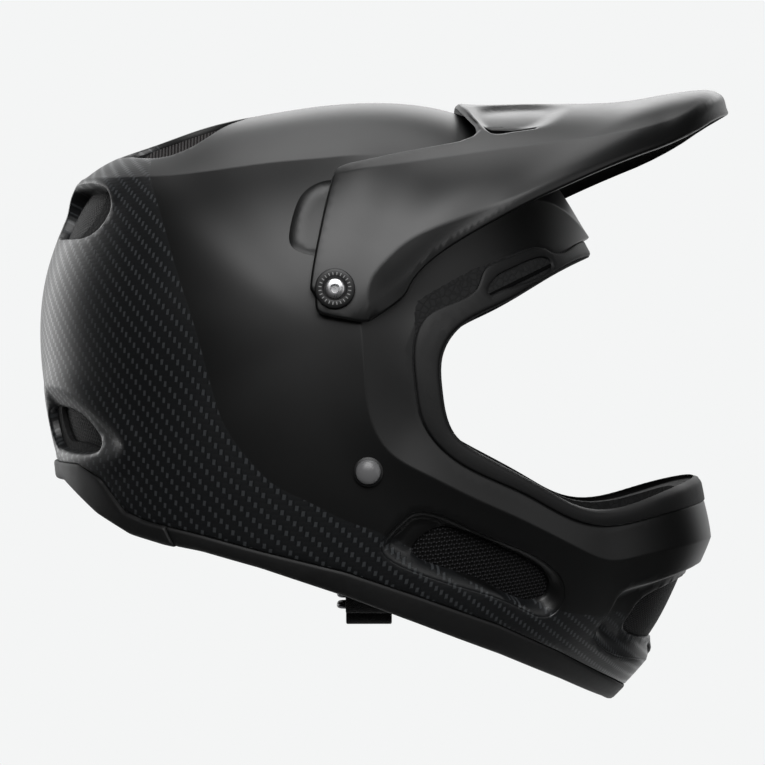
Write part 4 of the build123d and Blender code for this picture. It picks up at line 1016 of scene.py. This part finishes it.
def build_lower_trims(spacing, material):
    """The trim along the lower edge and the rear bumper, with a seam between them."""
    top = below(shifted(hull, evenly(LOWER, 1.0), -GAP), LOWER_LINE)
    for name, solid, thick, rise, seam_gap in (("lower_trim", "lower_edge_trim", EDGE_TRIM_THICK, EDGE_TRIM_LIP, 0),
                                               ("rear_bumper_pad", "rear_bumper", BUMPER_THICK, BUMPER_RISE, GAP)):
        seam_line = np.array(SEAM) - (seam_gap, 0)
        seam = hull.flat(straight(seam_line, 0.2))
        behind = closed_by(seam, seam_line[-1], (-FAR, -FAR), (-FAR, FAR), seam_line[0])
        seam_places = surface_line(seam)

        def lift(flat, form, rise=rise, seam_places=seam_places):
            edges = edge_round(distance(form, LOWER_PLACES), LIP_ROUND)
            edges += edge_round(distance(form, BOTTOM_PLACES), BOTTOM_ROUND)
            return rise - edges - edge_round(distance(form, seam_places), SEAM_ROUND)

        lines = offsets(hull, LOWER, (-0.8, -LIP_ROUND)) + offsets(hull, BOTTOM, (0.6, 1.5, BOTTOM_ROUND))
        lines += offsets(hull, seam, (0.3, SEAM_ROUND, -0.3, -SEAM_ROUND))
        drop, keep = ([UNDER_TRIM], [top, behind]) if seam_gap else ([UNDER_TRIM, behind], [top])
        dress(panel(name, hull, drop, keep, lines, spacing, lift, thick, material), "helmet", "soft_trim", solid)


def build_vents(spacing, frame_finish, net_finish, grille_finish):
    """Frames of the chin vents, their nets, the rear nets, the brow grilles and the ribbed crown inserts."""
    for frame_name, net_name, loop, hole, frames, nets in (
            ("chin_vent_frames", "chin_vent_nets", CHIN_RECESS_LOOP, CHIN_HOLE_LOOP,
             ("chin_vent_frame_right", "chin_vent_frame_left"), ("chin_vent_net_right", "chin_vent_net_left")),
            ("front_vent_surround", "front_vent_mesh", FRONT_RECESS_LOOP, FRONT_HOLE_LOOP,
             ("front_vent_frame",), ("front_vent_net",))):
        recess = shifted(hull, loop, 0.2 * GAP, True)
        recess_places, hole_places = loop_places(recess), loop_places(hole)

        def dished(flat, form, recess_places=recess_places, hole_places=hole_places):
            slope = ramp(distance(form, recess_places), GAP, GAP + FRAME_SLOPE)
            return -FRAME_DROP - (DISH_DROP - FRAME_DROP) * slope - edge_round(distance(form, hole_places), HOLE_ROUND)

        shape = panel(frame_name, hull, [hole], [recess], offsets(hull, recess, FRAME_LINES, True), spacing, dished,
                      FRAME_THICK, frame_finish, {"weave": weave_field})
        dress(shape, "helmet", "vent_plastic", *frames)
        shape = panel(net_name, hull, [], [recess], [], spacing, NET_DROP, NET_THICK, net_finish)
        dress(shape, "helmet", "net", *nets)

    for name, loop, nodes in (("rear_upper_mesh", REAR_UPPER_LOOP, ("rear_upper_net",)),
                              ("rear_lower_mesh", REAR_LOWER_LOOP, ("rear_lower_net_right", "rear_lower_net_left"))):
        edge = shifted(hull, loop, -1.0, True)
        shape = panel(name, hull, [], [edge], [], spacing, REAR_NET_DROP, REAR_NET_THICK, net_finish)
        dress(shape, "helmet", "net", *nodes)

    blade = hull.flat(straight(BROW_BLADE, 0.2))
    blade_places = surface_line(blade)
    shape = panel("brow_grilles", hull, [], [shifted(hull, BROW_SLOT_LOOP, -1.0, True)],
                  offsets(hull, blade, (-BLADE_FOOT, -BLADE_TOP, BLADE_TOP, BLADE_FOOT)), spacing * 0.7,
                  lambda flat, form: -GRILLE_DROP + BLADE_RISE * (
                      1 - ramp(distance(form, blade_places), BLADE_TOP, BLADE_FOOT)), GRILLE_THICK, grille_finish)
    dress(shape, "helmet", "vent_plastic", "brow_grille_right", "brow_grille_left")

    vent_places = loop_places(CROWN_VENT_LOOP)
    floor_loop = shifted(hull, CROWN_VENT_LOOP, -1.5, True)
    shape = panel("crown_vent_ribs", hull, [], [floor_loop], offsets(hull, floor_loop, (2.0, 4.0, 6.5), True),
                  spacing * 0.8, lambda flat, form: -CROWN_FLOOR_RIM - CROWN_FLOOR_DROP * ramp(
                      distance(form, vent_places), 0.0, CROWN_FLOOR_SLOPE), CROWN_FLOOR_THICK, finish("ribs"))
    dress(shape, "helmet", "vent_plastic", "crown_vent_insert_right", "crown_vent_insert_left")


def build_visor(spacing, material):
    """The visor: a walled skin of its own form, with creased wings, a bevelled edge, an upturned tip and air slots."""
    outline = ring(visor_hull.flat(straight(rounded(VISOR_EDGE, 2), 0.2, closed=True)))
    turn = np.linspace(0, 2 * np.pi, 60, endpoint=False)
    slot_loop = evenly(visor_hull.flat(rounded(HOOD_SLOT, 2)), 0.8, True)
    channel = evenly(visor_hull.flat(straight(rounded(HOOD_CHANNEL, 3), 0.4, closed=True)), 0.8, True)
    channel_places = loop_places(channel, visor_hull)
    hole = SCREW_PLACE + SCREW_HOLE * np.stack([np.cos(turn), np.sin(turn)], 1)
    hole_loop = evenly(visor_hull.flat(hole), 0.8, True)
    edge_places = loop_places(outline, visor_hull)
    slot_places = loop_places(slot_loop, visor_hull)
    crease, fold = (visor_hull.flat(open_curve(line, FINE)) for line in (WING_CREASE, VISOR_FOLD))
    crease_places, fold_places = surface_line(crease, visor_hull), surface_line(fold, visor_hull)
    under = np.vstack([open_curve(VISOR_FOLD, 0.5), [(260, 112), (260, -80), (20, -80)]])
    under_loop = ring(visor_hull.flat(straight(under, 0.5, closed=True)))

    def lift(flat, form):
        above = form[:, 2] > np.interp(form[:, 0], crease_places[:, 0], crease_places[:, 2])
        raised = WING_CREASE_RISE * fall(distance(form, crease_places), np.where(above, *WING_CREASE_REACH))
        raised *= ramp(form[:, 0], -10, 20) * (1 - ramp(form[:, 0], 165, 195))
        bearing = np.degrees(np.arctan2(form[:, 2], form[:, 0]))
        upturn = ramp(bearing, 29.6, 32.2) * (1 - ramp(bearing, 32.6, 36.5)) * ramp(form[:, 0], 158, 186)
        raised += TIP_UPTURN * upturn
        raised -= BEVEL_DEPTH * (1 - fall(distance(form, fold_places), BEVEL_REACH)) * inside(under_loop, flat)
        sunk = ramp(distance(form, channel_places), 0.0, HOOD_CHANNEL_SLOPE)
        raised -= HOOD_CHANNEL_DEPTH * sunk * inside(channel, flat)
        raised -= edge_round(distance(form, edge_places), PEAK_ROUND)
        return raised - edge_round(distance(form, slot_places), HOOD_SLOT_ROUND)

    lines = offsets(visor_hull, outline, (0.3, 0.8, PEAK_ROUND), True)
    lines += offsets(visor_hull, slot_loop, (-0.4, -HOOD_SLOT_ROUND), True)
    lines += offsets(visor_hull, crease, (0.0, 0.8, -0.8)) + offsets(visor_hull, fold, (0.0, 1.2, -1.2))
    lines += offsets(visor_hull, channel, (0.0, 2.5, 5.0), True)
    shape = panel("visor_peak", visor_hull, [hole_loop, slot_loop], [outline], lines, spacing, lift, WALL, material,
                  sharp=50.0)
    dress(shape, "visor", "visor_paint", "visor")
    # Dark floors under the hood slots: sheets of painted shade, so that the slots look into the dark
    floor_loop = shifted(visor_hull, slot_loop, -1.5, True)
    shape = panel("hood_slot_shade_floors", visor_hull, [], [floor_loop], [], spacing * 0.6, -HOOD_SHADE_FLOOR_DROP,
                  HOOD_SHADE_FLOOR_THICK, finish("grille"))
    dress(shape, "visor", "vent_plastic")


def turned(name, place, profile, material, segments):
    """A turned piece at each side: radius and depth pairs carried round an axis along Y."""
    radius, depth = np.asarray(profile, float).T[:, :, None]
    angle = np.linspace(0, 2 * np.pi, segments, endpoint=False)
    half = np.stack([place[0] + radius * np.cos(angle), np.repeat(-depth, segments, 1),
                     place[1] + radius * np.sin(angle)], 2).reshape(-1, 3)
    faces = tube_faces(len(profile), segments)[:, ::-1]
    faces = np.vstack([faces, faces[:, ::-1] + len(half)])
    shape = make_mesh(name, np.vstack([half, half * (1, -1, 1)]), faces, material)
    cleaned(shape, 0.005)
    shape.data.polygons.foreach_set("use_smooth", np.ones(len(shape.data.polygons), bool))
    sharp_by_angle(shape, 40.0)
    return shape


# Turned pieces: radius, and height over the face that the piece shows outside
RIVET_RADIUS = 5.8
RIVET_RIM = 0.5
RIVET_DOME = 2.4
RIVET_SHANK = ((RIVET_RADIUS, 0), (2.5, 0), (2.5, -9.0), (AXIS, -9.0))
RIVET_WASHER = ((2.7, -0.8), (2.7, 0), (6.5, 0), (6.9, -0.25), (6.9, -1.6), (2.7, -0.8))
VISOR_WASHER = ((2.7, -0.5), (5.2, -0.5), (5.5, -0.1), (5.9, 0), (8.3, 0), (9.0, -0.25), (9.3, -0.9))
VISOR_WASHER_BACK = ((9.3, 0.3), (9.0, 0), (2.7, 0))
VISOR_WASHER_SUNK = 2.0
SCREW = ((AXIS, -0.6), (1.9, -0.6), (1.95, 1.0), (2.2, 1.3), (3.6, 1.25), (4.3, 0.9), (4.6, 0.2), (4.6, -0.45),
         (2.5, -0.45), (2.5, -20.0), (AXIS, -20.0))


def build_fasteners():
    """Strap rivets as low domes with a ring washer each, and the visor's screws with socket heads."""
    def over(level, profile):
        return [(radius, level + height) for radius, height in profile]

    rivet_face = float(-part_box("rivet_rings")[0][1] / MM)
    screw_face = float(-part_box("visor_washers")[0][1] / MM)
    inner = float(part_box("visor_washers")[1][1] / MM) - VISOR_WASHER_SUNK
    dome = [(AXIS, rivet_face + RIVET_RIM + RIVET_DOME)]
    for turn in np.linspace(0, np.pi / 2, 10)[1:]:
        dome.append((RIVET_RADIUS * math.sin(turn), rivet_face + RIVET_RIM + RIVET_DOME * math.cos(turn)))
    washer = over(inner, VISOR_WASHER_BACK[-1:]) + over(screw_face, VISOR_WASHER) + over(inner, VISOR_WASHER_BACK)
    for name, place, profile, key, segments, slot, solid in (
            ("strap_rivet_heads", RIVET_PLACE, dome + over(rivet_face, RIVET_SHANK), "rivet", 48,
             "rivet_paint", "strap_rivets"),
            ("rivet_washers", RIVET_PLACE, over(rivet_face, RIVET_WASHER), "bushing", 48,
             "bushing_plastic", "rivet_rings"),
            ("visor_washer_rings", SCREW_PLACE, washer, "washer", 72, "bushing_plastic", "visor_washers"),
            ("visor_screw_heads", SCREW_PLACE, over(screw_face, SCREW), "screw", 36,
             "screw_aluminium", "visor_screws")):
        dress(turned(name, place, profile, finish(key), segments), "helmet", slot, solid)


def soft_path(points, turns=4):
    """Open path with its corners cut, ends kept."""
    points = np.asarray(points, float)
    for _ in range(turns):
        mixed = np.stack([0.75 * points[:-1] + 0.25 * points[1:], 0.25 * points[:-1] + 0.75 * points[1:]], 1)
        points = np.vstack([points[:1], mixed.reshape(-1, 2)[1:-1], points[-1:]])
    return points


def webbing(name, paths, thick, width, material, x_middle):
    """Flat webbing: a rounded section carried along paths in a plane across the helmet."""
    turn = np.linspace(0, 2 * np.pi, 20, endpoint=False)
    across = (width / 2 - thick / 2) * np.sign(np.cos(turn)) + thick / 2 * np.cos(turn)
    high, sides = thick / 2 * np.sin(turn), len(turn)
    vertices, faces, pattern, start = [], [], [], 0
    for path in paths:
        path = evenly(np.asarray(path, float), 1.5)
        run = np.gradient(path, axis=0)
        run /= np.linalg.norm(run, axis=1)[:, None]
        square = np.stack([-run[:, 1], run[:, 0]], 1)
        places = path[:, None, :] + square[:, None, :] * high[None, :, None]
        section = np.broadcast_to(x_middle + across, places.shape[:2])[..., None]
        vertices.append(np.concatenate([section, places], 2).reshape(-1, 3))
        count = len(path)
        fan = np.stack([np.zeros(sides - 2, int), np.arange(1, sides - 1), np.arange(2, sides)], 1)
        faces.append(np.vstack([tube_faces(count, sides), fan, fan[:, ::-1] + (count - 1) * sides]) + start)
        length = np.concatenate([[0], np.cumsum(np.linalg.norm(np.diff(path, axis=0), axis=1))])
        pattern.append(np.stack([np.repeat(length, sides), np.tile(across, count)], 1))
        start += count * sides
    shape = make_mesh(name, np.vstack(vertices), np.vstack(faces), material, np.vstack(pattern))
    cleaned(shape)
    sharp_by_angle(shape, 60.0)
    return shape


# Paths of the strap as seen from the front: depth and height
STRAP_LEVEL = -118.9
STRAP_RUN = ((106.8, -51.8), (106.8, -73.8), (84, -107.9), (60, STRAP_LEVEL))
SEWN_LOOP = ((46.2, -118.9), (33.3, -121.1), (33.3, -128.2), (40.9, -133.5), (46.2, -131.4), (53.6, -118.9))
THREAD = (
    (25.6, -118.9), (28.8, -122.6), (28.8, -136), (25.1, -139.5), (19.8, -139.5), (16.1, -136),
    (18.2, -130.1), (23.3, -124.5), (21.7, -121.1), (-26, -121.1),
)


def build_strap(width, thick, material):
    """Both halves of the chin strap: the sewn loop on the right, the threaded end with its slack on the left."""
    short = [soft_path(STRAP_RUN + ((42.5, STRAP_LEVEL),)) * (-1, 1), soft_path(SEWN_LOOP, 3) * (-1, 1)]
    long = [soft_path(STRAP_RUN + ((0, STRAP_LEVEL),) + tuple((-y, z) for y, z in THREAD))]
    for name, paths, solid in (("chin_strap_short_end", short, "chin_strap_short"),
                               ("chin_strap_long_end", long, "chin_strap_long")):
        dress(webbing(name, paths, thick, width, material, RIVET_PLACE[0]), "chin_strap", "webbing", solid)


def modified(shape, name, kind, **values):
    """A modifier with its properties, applied to the shape's mesh at once."""
    made = shape.modifiers.new(name, kind)
    for key, value in values.items():
        setattr(made, key, value)
    apply_modifiers(shape)


def places_of(shape):
    """Places of a shape's vertices."""
    found = np.zeros(len(shape.data.vertices) * 3)
    shape.data.vertices.foreach_get("co", found)
    return found.reshape(-1, 3)


def cushion(name, source, voxel, swell, material, body="helmet"):
    """A cushion from its solid: closed by small cubes, smoothed, blown up a little as cloth, then refined."""
    shape = bpy.data.objects.new(name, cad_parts[source].data.copy())
    bpy.context.scene.collection.objects.link(shape)
    cleaned(shape, 0.01, outwards=False)
    modified(shape, "cubes", "REMESH", mode="VOXEL", voxel_size=voxel * MM)
    modified(shape, "smooth", "SMOOTH", factor=0.5, iterations=8)
    if swell:
        before = places_of(shape)
        cloth = shape.modifiers.new("cloth", "CLOTH")
        cloth.settings.use_pressure = True
        cloth.settings.uniform_pressure_force = 4.0
        cloth.settings.effector_weights.gravity = 0.0
        scene = bpy.context.scene
        for step in range(1, CLOTH_STEPS + 1):
            scene.frame_set(step)
        apply_modifiers(shape)
        scene.frame_set(1)
        move = places_of(shape) - before
        share = np.minimum(1, swell * MM / np.maximum(np.linalg.norm(move, axis=1), 1e-9))
        shape.data.vertices.foreach_set("co", (before + move * share[:, None]).ravel())
        shape.data.update()
    modified(shape, "refine", "SUBSURF", levels=1, render_levels=1)
    shape.data.materials.clear()
    shape.data.materials.append(material)
    shape.data.polygons.foreach_set("use_smooth", np.ones(len(shape.data.polygons), bool))
    dress(shape, body, "pad_fabric", source)


def build_lining(swell, cloth):
    """Crown, brow, rear and cheek pads, the nape roll, and the strap's sleeves."""
    for name, source, voxel in (("crown_cushion", "crown_pad", 3.5), ("brow_cushion", "brow_pad", 3.0),
                                ("rear_cushion", "rear_pad", 3.0), ("nape_roll", "neck_roll", 3.5),
                                ("cheek_cushion_right", "cheek_pad_right", 4.5),
                                ("cheek_cushion_left", "cheek_pad_left", 4.5)):
        cushion(name, source, voxel, swell, cloth)
    for side in ("right", "left"):
        cushion(f"jaw_sleeve_{side}", f"strap_sleeve_{side}", 1.6, 0.0, cloth, "chin_strap")


def build_inner():
    """Finishes of the solids that keep their shapes: liners, breath guard, slip pads, snaps, rings and bushings."""
    for key, names in (("foam", ("impact_liner", "chin_liner")), ("trim", ("breath_guard",)),
                       ("frame", ("slip_pads", "cheek_snaps_right", "cheek_snaps_left")),
                       ("steel", ("visor_inserts", "rivet_plates", "strap_snap", "d_ring_inner", "d_ring_outer")),
                       ("bushing", ("visor_bushings",))):
        for name in names:
            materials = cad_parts[name].data.materials
            materials.clear()
            materials.append(finish(key))


def sheet(name, background, corners):
    """A flat sheet of matte paper that also glows in its own colour by a share; rays seen and the share's socket."""
    material, tree, shader = new_material(f"{name}_paper", background, 0.9, specular=0.2)
    lit = node(tree, "Emission", {"Color": (*background, 1)})
    mix = node(tree, "MixShader", {1: shader.outputs["BSDF"], 2: lit.outputs["Emission"]})
    feed(tree, mix.outputs["Shader"], tree.nodes["Material Output"].inputs["Surface"])
    shape = make_mesh(name, np.array(corners), np.array([(0, 1, 2, 3)]), material)
    rays = {socket.name: Value(tree, socket) for socket in node(tree, "LightPath").outputs}
    return shape, tree, rays, mix.inputs["Fac"]


def build_stage(background):
    """A pale floor that fades into its backdrop, a soft studio, and the camera at the side."""
    floor, tree, rays, share = sheet("floor", background, [(x, y, -320.0) for x, y in (
        (-320, -120), (320, -120), (320, 420), (-320, 420))])
    x, y, _ = axes(tree, object_place(tree))
    feed(tree, rays["Is Camera Ray"] * (x * x + y * y)("SQRT").between(0.12, 0.28, 0.45, 1.0), share)
    backdrop, tree, rays, share = sheet("backdrop", background, [(x, 3000, z) for x, z in (
        (-4000, -1500), (4000, -1500), (4000, 3000), (-4000, 3000))])
    feed(tree, rays["Is Camera Ray"]("MAXIMUM", rays["Is Glossy Ray"]("MAXIMUM", rays["Is Transmission Ray"])), share)

    scene = bpy.context.scene
    for name, place, size, power in SOFTBOXES:
        light = bpy.data.lights.new(name, "AREA")
        light.shape = "RECTANGLE"
        light.size, light.size_y = size
        light.energy = power
        shape = bpy.data.objects.new(name, light)
        shape.location = place
        shape.rotation_euler = (-Vector(place)).to_track_quat("-Z", "Y").to_euler()
        shape.visible_camera = False
        scene.collection.objects.link(shape)
    scene.world = bpy.data.worlds.new("studio")
    scene.world.use_nodes = True
    tree = scene.world.node_tree
    sky = tree.nodes["Background"]
    sky.inputs["Strength"].default_value = 1.0
    seen = node(tree, "LightPath").outputs["Is Camera Ray"]
    feed(tree, blend_colours(tree, seen, AMBIENT, background), sky.inputs["Color"])

    camera = bpy.data.cameras.new("camera")
    camera.sensor_width = SENSOR
    camera.lens = SENSOR * CAMERA_DISTANCE / PICTURE_WIDTH
    camera.clip_end = 50.0
    holder = bpy.data.objects.new("camera", camera)
    holder.location = (0.02625, -CAMERA_DISTANCE * MM, -0.02125)
    holder.rotation_euler = (math.pi / 2, 0, 0)
    scene.collection.objects.link(holder)
    scene.camera = holder
    scene.view_settings.view_transform = "Standard"


def finish(key):
    """The material of a finish, made the first time that it is asked for."""
    name = f"{key}_finish"
    made = bpy.data.materials.get(name)
    if made:
        return made
    colours = bpy.context.scene.helmet_colours
    maker, colour, values = {
        "shell": (carbon_shell, colours.paint, ()),
        "visor": (satin_paint, colours.paint, (0.36,)),
        "rivet": (satin_paint, colours.rivet, (0.3,)),
        "trim": (moulded, colours.trim, (0.58,)),
        "frame": (moulded, colours.plastic, (0.42, 1800.0, 0.2)),
        "ribs": (ribbed_plastic, colours.ribs, ()),
        "bushing": (moulded, colours.plastic, (0.4, 2200.0, 0.12)),
        "net": (net_material, colours.net, (0.0016,)),
        "grille": (slot_shade_plastic, colours.grille, ()),
        "foam": (bead_foam, colours.foam, ()),
        "webbing": (webbing_material, colours.webbing, ()),
        "cloth": (cloth_material, colours.cloth, (0.0011,)),
        "washer": (washer_material, colours.washer, ()),
        "screw": (metal_material, colours.screw, (0.28,)),
        "steel": (metal_material, colours.steel, (0.3,)),
    }[key]
    return maker(name, tuple(colour), *values)


def colour(name, description, value):
    """A colour that a user can change."""
    return FloatVectorProperty(name=name, description=description, default=value, size=3, min=0, max=1,
                               subtype="COLOR")


def length(name, description, value):
    """A length that a user can change, in metres."""
    return FloatProperty(name=name, description=description, default=value, min=0, precision=5, unit="LENGTH",
                         subtype="DISTANCE")


class HelmetSizes(bpy.types.PropertyGroup):
    """Sizes of the dressed pieces."""
    shell_grid: length("Shell grid", "Side of the triangles on the shell", 0.0021)
    visor_grid: length("Visor grid", "Side of the triangles on the visor", 0.0016)
    trim_grid: length("Trim grid", "Side of the triangles on the trims and vents", 0.0022)
    strap_width: length("Strap width", "Width of the chin strap's webbing", 0.0225)
    strap_thickness: length("Strap thickness", "Thickness of the chin strap's webbing", 0.0016)
    pad_swell: length("Pad swell", "How far the cloth of a pad may stand out of its solid", 0.002)


class HelmetColours(bpy.types.PropertyGroup):
    """Colours of the finishes, as linear values."""
    paint: colour("Paint", "Satin paint of the shell and the visor", (0.0020, 0.0021, 0.0022))
    rivet: colour("Rivet", "Satin paint of the strap rivets", (0.15, 0.15, 0.153))
    trim: colour("Trim", "Soft trim round the face opening and the lower edge", (0.004, 0.0041, 0.0043))
    plastic: colour("Plastic", "Moulded vent frames and bushings", (0.0065, 0.0066, 0.0069))
    ribs: colour("Ribs", "Ribbed inserts of the crown vents", (0.032, 0.028, 0.028))
    net: colour("Net", "Threads of the vent nets", (0.0035, 0.0035, 0.0037))
    # Darker than the other plastic: the grilles' own black with painted shade of their deep slots
    grille: colour("Grille", "Deep plastic of the brow grilles", (0.0015, 0.0015, 0.0016))
    foam: colour("Foam", "Bead foam of the liners", (0.012, 0.0122, 0.0126))
    webbing: colour("Webbing", "Chin strap", (0.0025, 0.0025, 0.0027))
    cloth: colour("Cloth", "Knitted cover of the pads", (0.014, 0.0145, 0.0155))
    washer: colour("Washer", "Washers under the visor screws", (0.006, 0.006, 0.0063))
    screw: colour("Screw", "Aluminium of the visor screws", (0.75, 0.75, 0.76))
    steel: colour("Steel", "Blackened steel of the rings, the snap and the inserts", (0.09, 0.09, 0.095))
    backdrop: colour("Backdrop", "Floor and backdrop", (0.905, 0.913, 0.913))


class HELMET_OT_shell(bpy.types.Operator):
    """Builds the outer shell with its raised frame, crown crease and vent edges"""
    bl_idname = "helmet.shell"
    bl_label = "Shell"

    def execute(self, context):
        build_shell(context.scene.helmet_sizes.shell_grid / MM, finish("shell"))
        return {"FINISHED"}


class HELMET_OT_trims(bpy.types.Operator):
    """Builds the trim round the face opening, the lower edge trim and the rear bumper"""
    bl_idname = "helmet.trims"
    bl_label = "Trims"

    def execute(self, context):
        grid = context.scene.helmet_sizes.trim_grid / MM
        build_face_trim(grid, finish("trim"))
        build_lower_trims(grid, finish("trim"))
        return {"FINISHED"}


class HELMET_OT_vents(bpy.types.Operator):
    """Builds the vent frames, nets, brow grilles and ribbed crown inserts"""
    bl_idname = "helmet.vents"
    bl_label = "Vents"

    def execute(self, context):
        build_vents(context.scene.helmet_sizes.trim_grid / MM, finish("shell"), finish("net"), finish("grille"))
        return {"FINISHED"}


class HELMET_OT_visor(bpy.types.Operator):
    """Builds the visor with its hood slots, wing creases and bevelled edge"""
    bl_idname = "helmet.visor"
    bl_label = "Visor"

    def execute(self, context):
        build_visor(context.scene.helmet_sizes.visor_grid / MM, finish("visor"))
        return {"FINISHED"}


class HELMET_OT_fasteners(bpy.types.Operator):
    """Builds the strap rivets with their washers, and the visor's screws and washers"""
    bl_idname = "helmet.fasteners"
    bl_label = "Fasteners"

    def execute(self, context):
        build_fasteners()
        return {"FINISHED"}


class HELMET_OT_strap(bpy.types.Operator):
    """Builds both halves of the chin strap"""
    bl_idname = "helmet.strap"
    bl_label = "Chin strap"

    def execute(self, context):
        sizes = context.scene.helmet_sizes
        build_strap(sizes.strap_width / MM, sizes.strap_thickness / MM, finish("webbing"))
        return {"FINISHED"}


class HELMET_OT_lining(bpy.types.Operator):
    """Builds the pads, the nape roll and the strap's sleeves"""
    bl_idname = "helmet.lining"
    bl_label = "Lining"

    def execute(self, context):
        build_lining(context.scene.helmet_sizes.pad_swell / MM, finish("cloth"))
        return {"FINISHED"}


class HELMET_OT_inner(bpy.types.Operator):
    """Gives the liners and the small metal and plastic parts their finishes"""
    bl_idname = "helmet.inner"
    bl_label = "Inner parts"

    def execute(self, context):
        build_inner()
        return {"FINISHED"}


class HELMET_OT_stage(bpy.types.Operator):
    """Builds the floor, the lights and the camera"""
    bl_idname = "helmet.stage"
    bl_label = "Stage"

    def execute(self, context):
        build_stage(tuple(context.scene.helmet_colours.backdrop))
        return {"FINISHED"}


BUILDERS = (HELMET_OT_shell, HELMET_OT_trims, HELMET_OT_vents, HELMET_OT_visor, HELMET_OT_fasteners,
            HELMET_OT_strap, HELMET_OT_lining, HELMET_OT_inner, HELMET_OT_stage)


class HELMET_PT_build(bpy.types.Panel):
    """Lists the helmet's pieces, sizes and colours"""
    bl_idname = "HELMET_PT_build"
    bl_label = "Full face helmet"
    bl_space_type = "VIEW_3D"
    bl_region_type = "UI"
    bl_category = "Helmet"

    def draw(self, context):
        for group in (context.scene.helmet_sizes, context.scene.helmet_colours):
            for key in type(group).__annotations__:
                self.layout.prop(group, key)
        for builder in BUILDERS:
            self.layout.operator(builder.bl_idname)


CLASSES = (HelmetSizes, HelmetColours, *BUILDERS, HELMET_PT_build)


def register():
    for made in CLASSES:
        bpy.utils.register_class(made)
    bpy.types.Scene.helmet_sizes = PointerProperty(type=HelmetSizes)
    bpy.types.Scene.helmet_colours = PointerProperty(type=HelmetColours)


def unregister():
    del bpy.types.Scene.helmet_colours
    del bpy.types.Scene.helmet_sizes
    for made in reversed(CLASSES):
        bpy.utils.unregister_class(made)


def main():
    """Builds the whole helmet on its frame."""
    register()
    bpy.ops.helmet.shell()
    bpy.ops.helmet.trims()
    bpy.ops.helmet.vents()
    bpy.ops.helmet.visor()
    bpy.ops.helmet.fasteners()
    bpy.ops.helmet.strap()
    bpy.ops.helmet.lining()
    bpy.ops.helmet.inner()
    bpy.ops.helmet.stage()


if __name__ == "__main__":
    main()
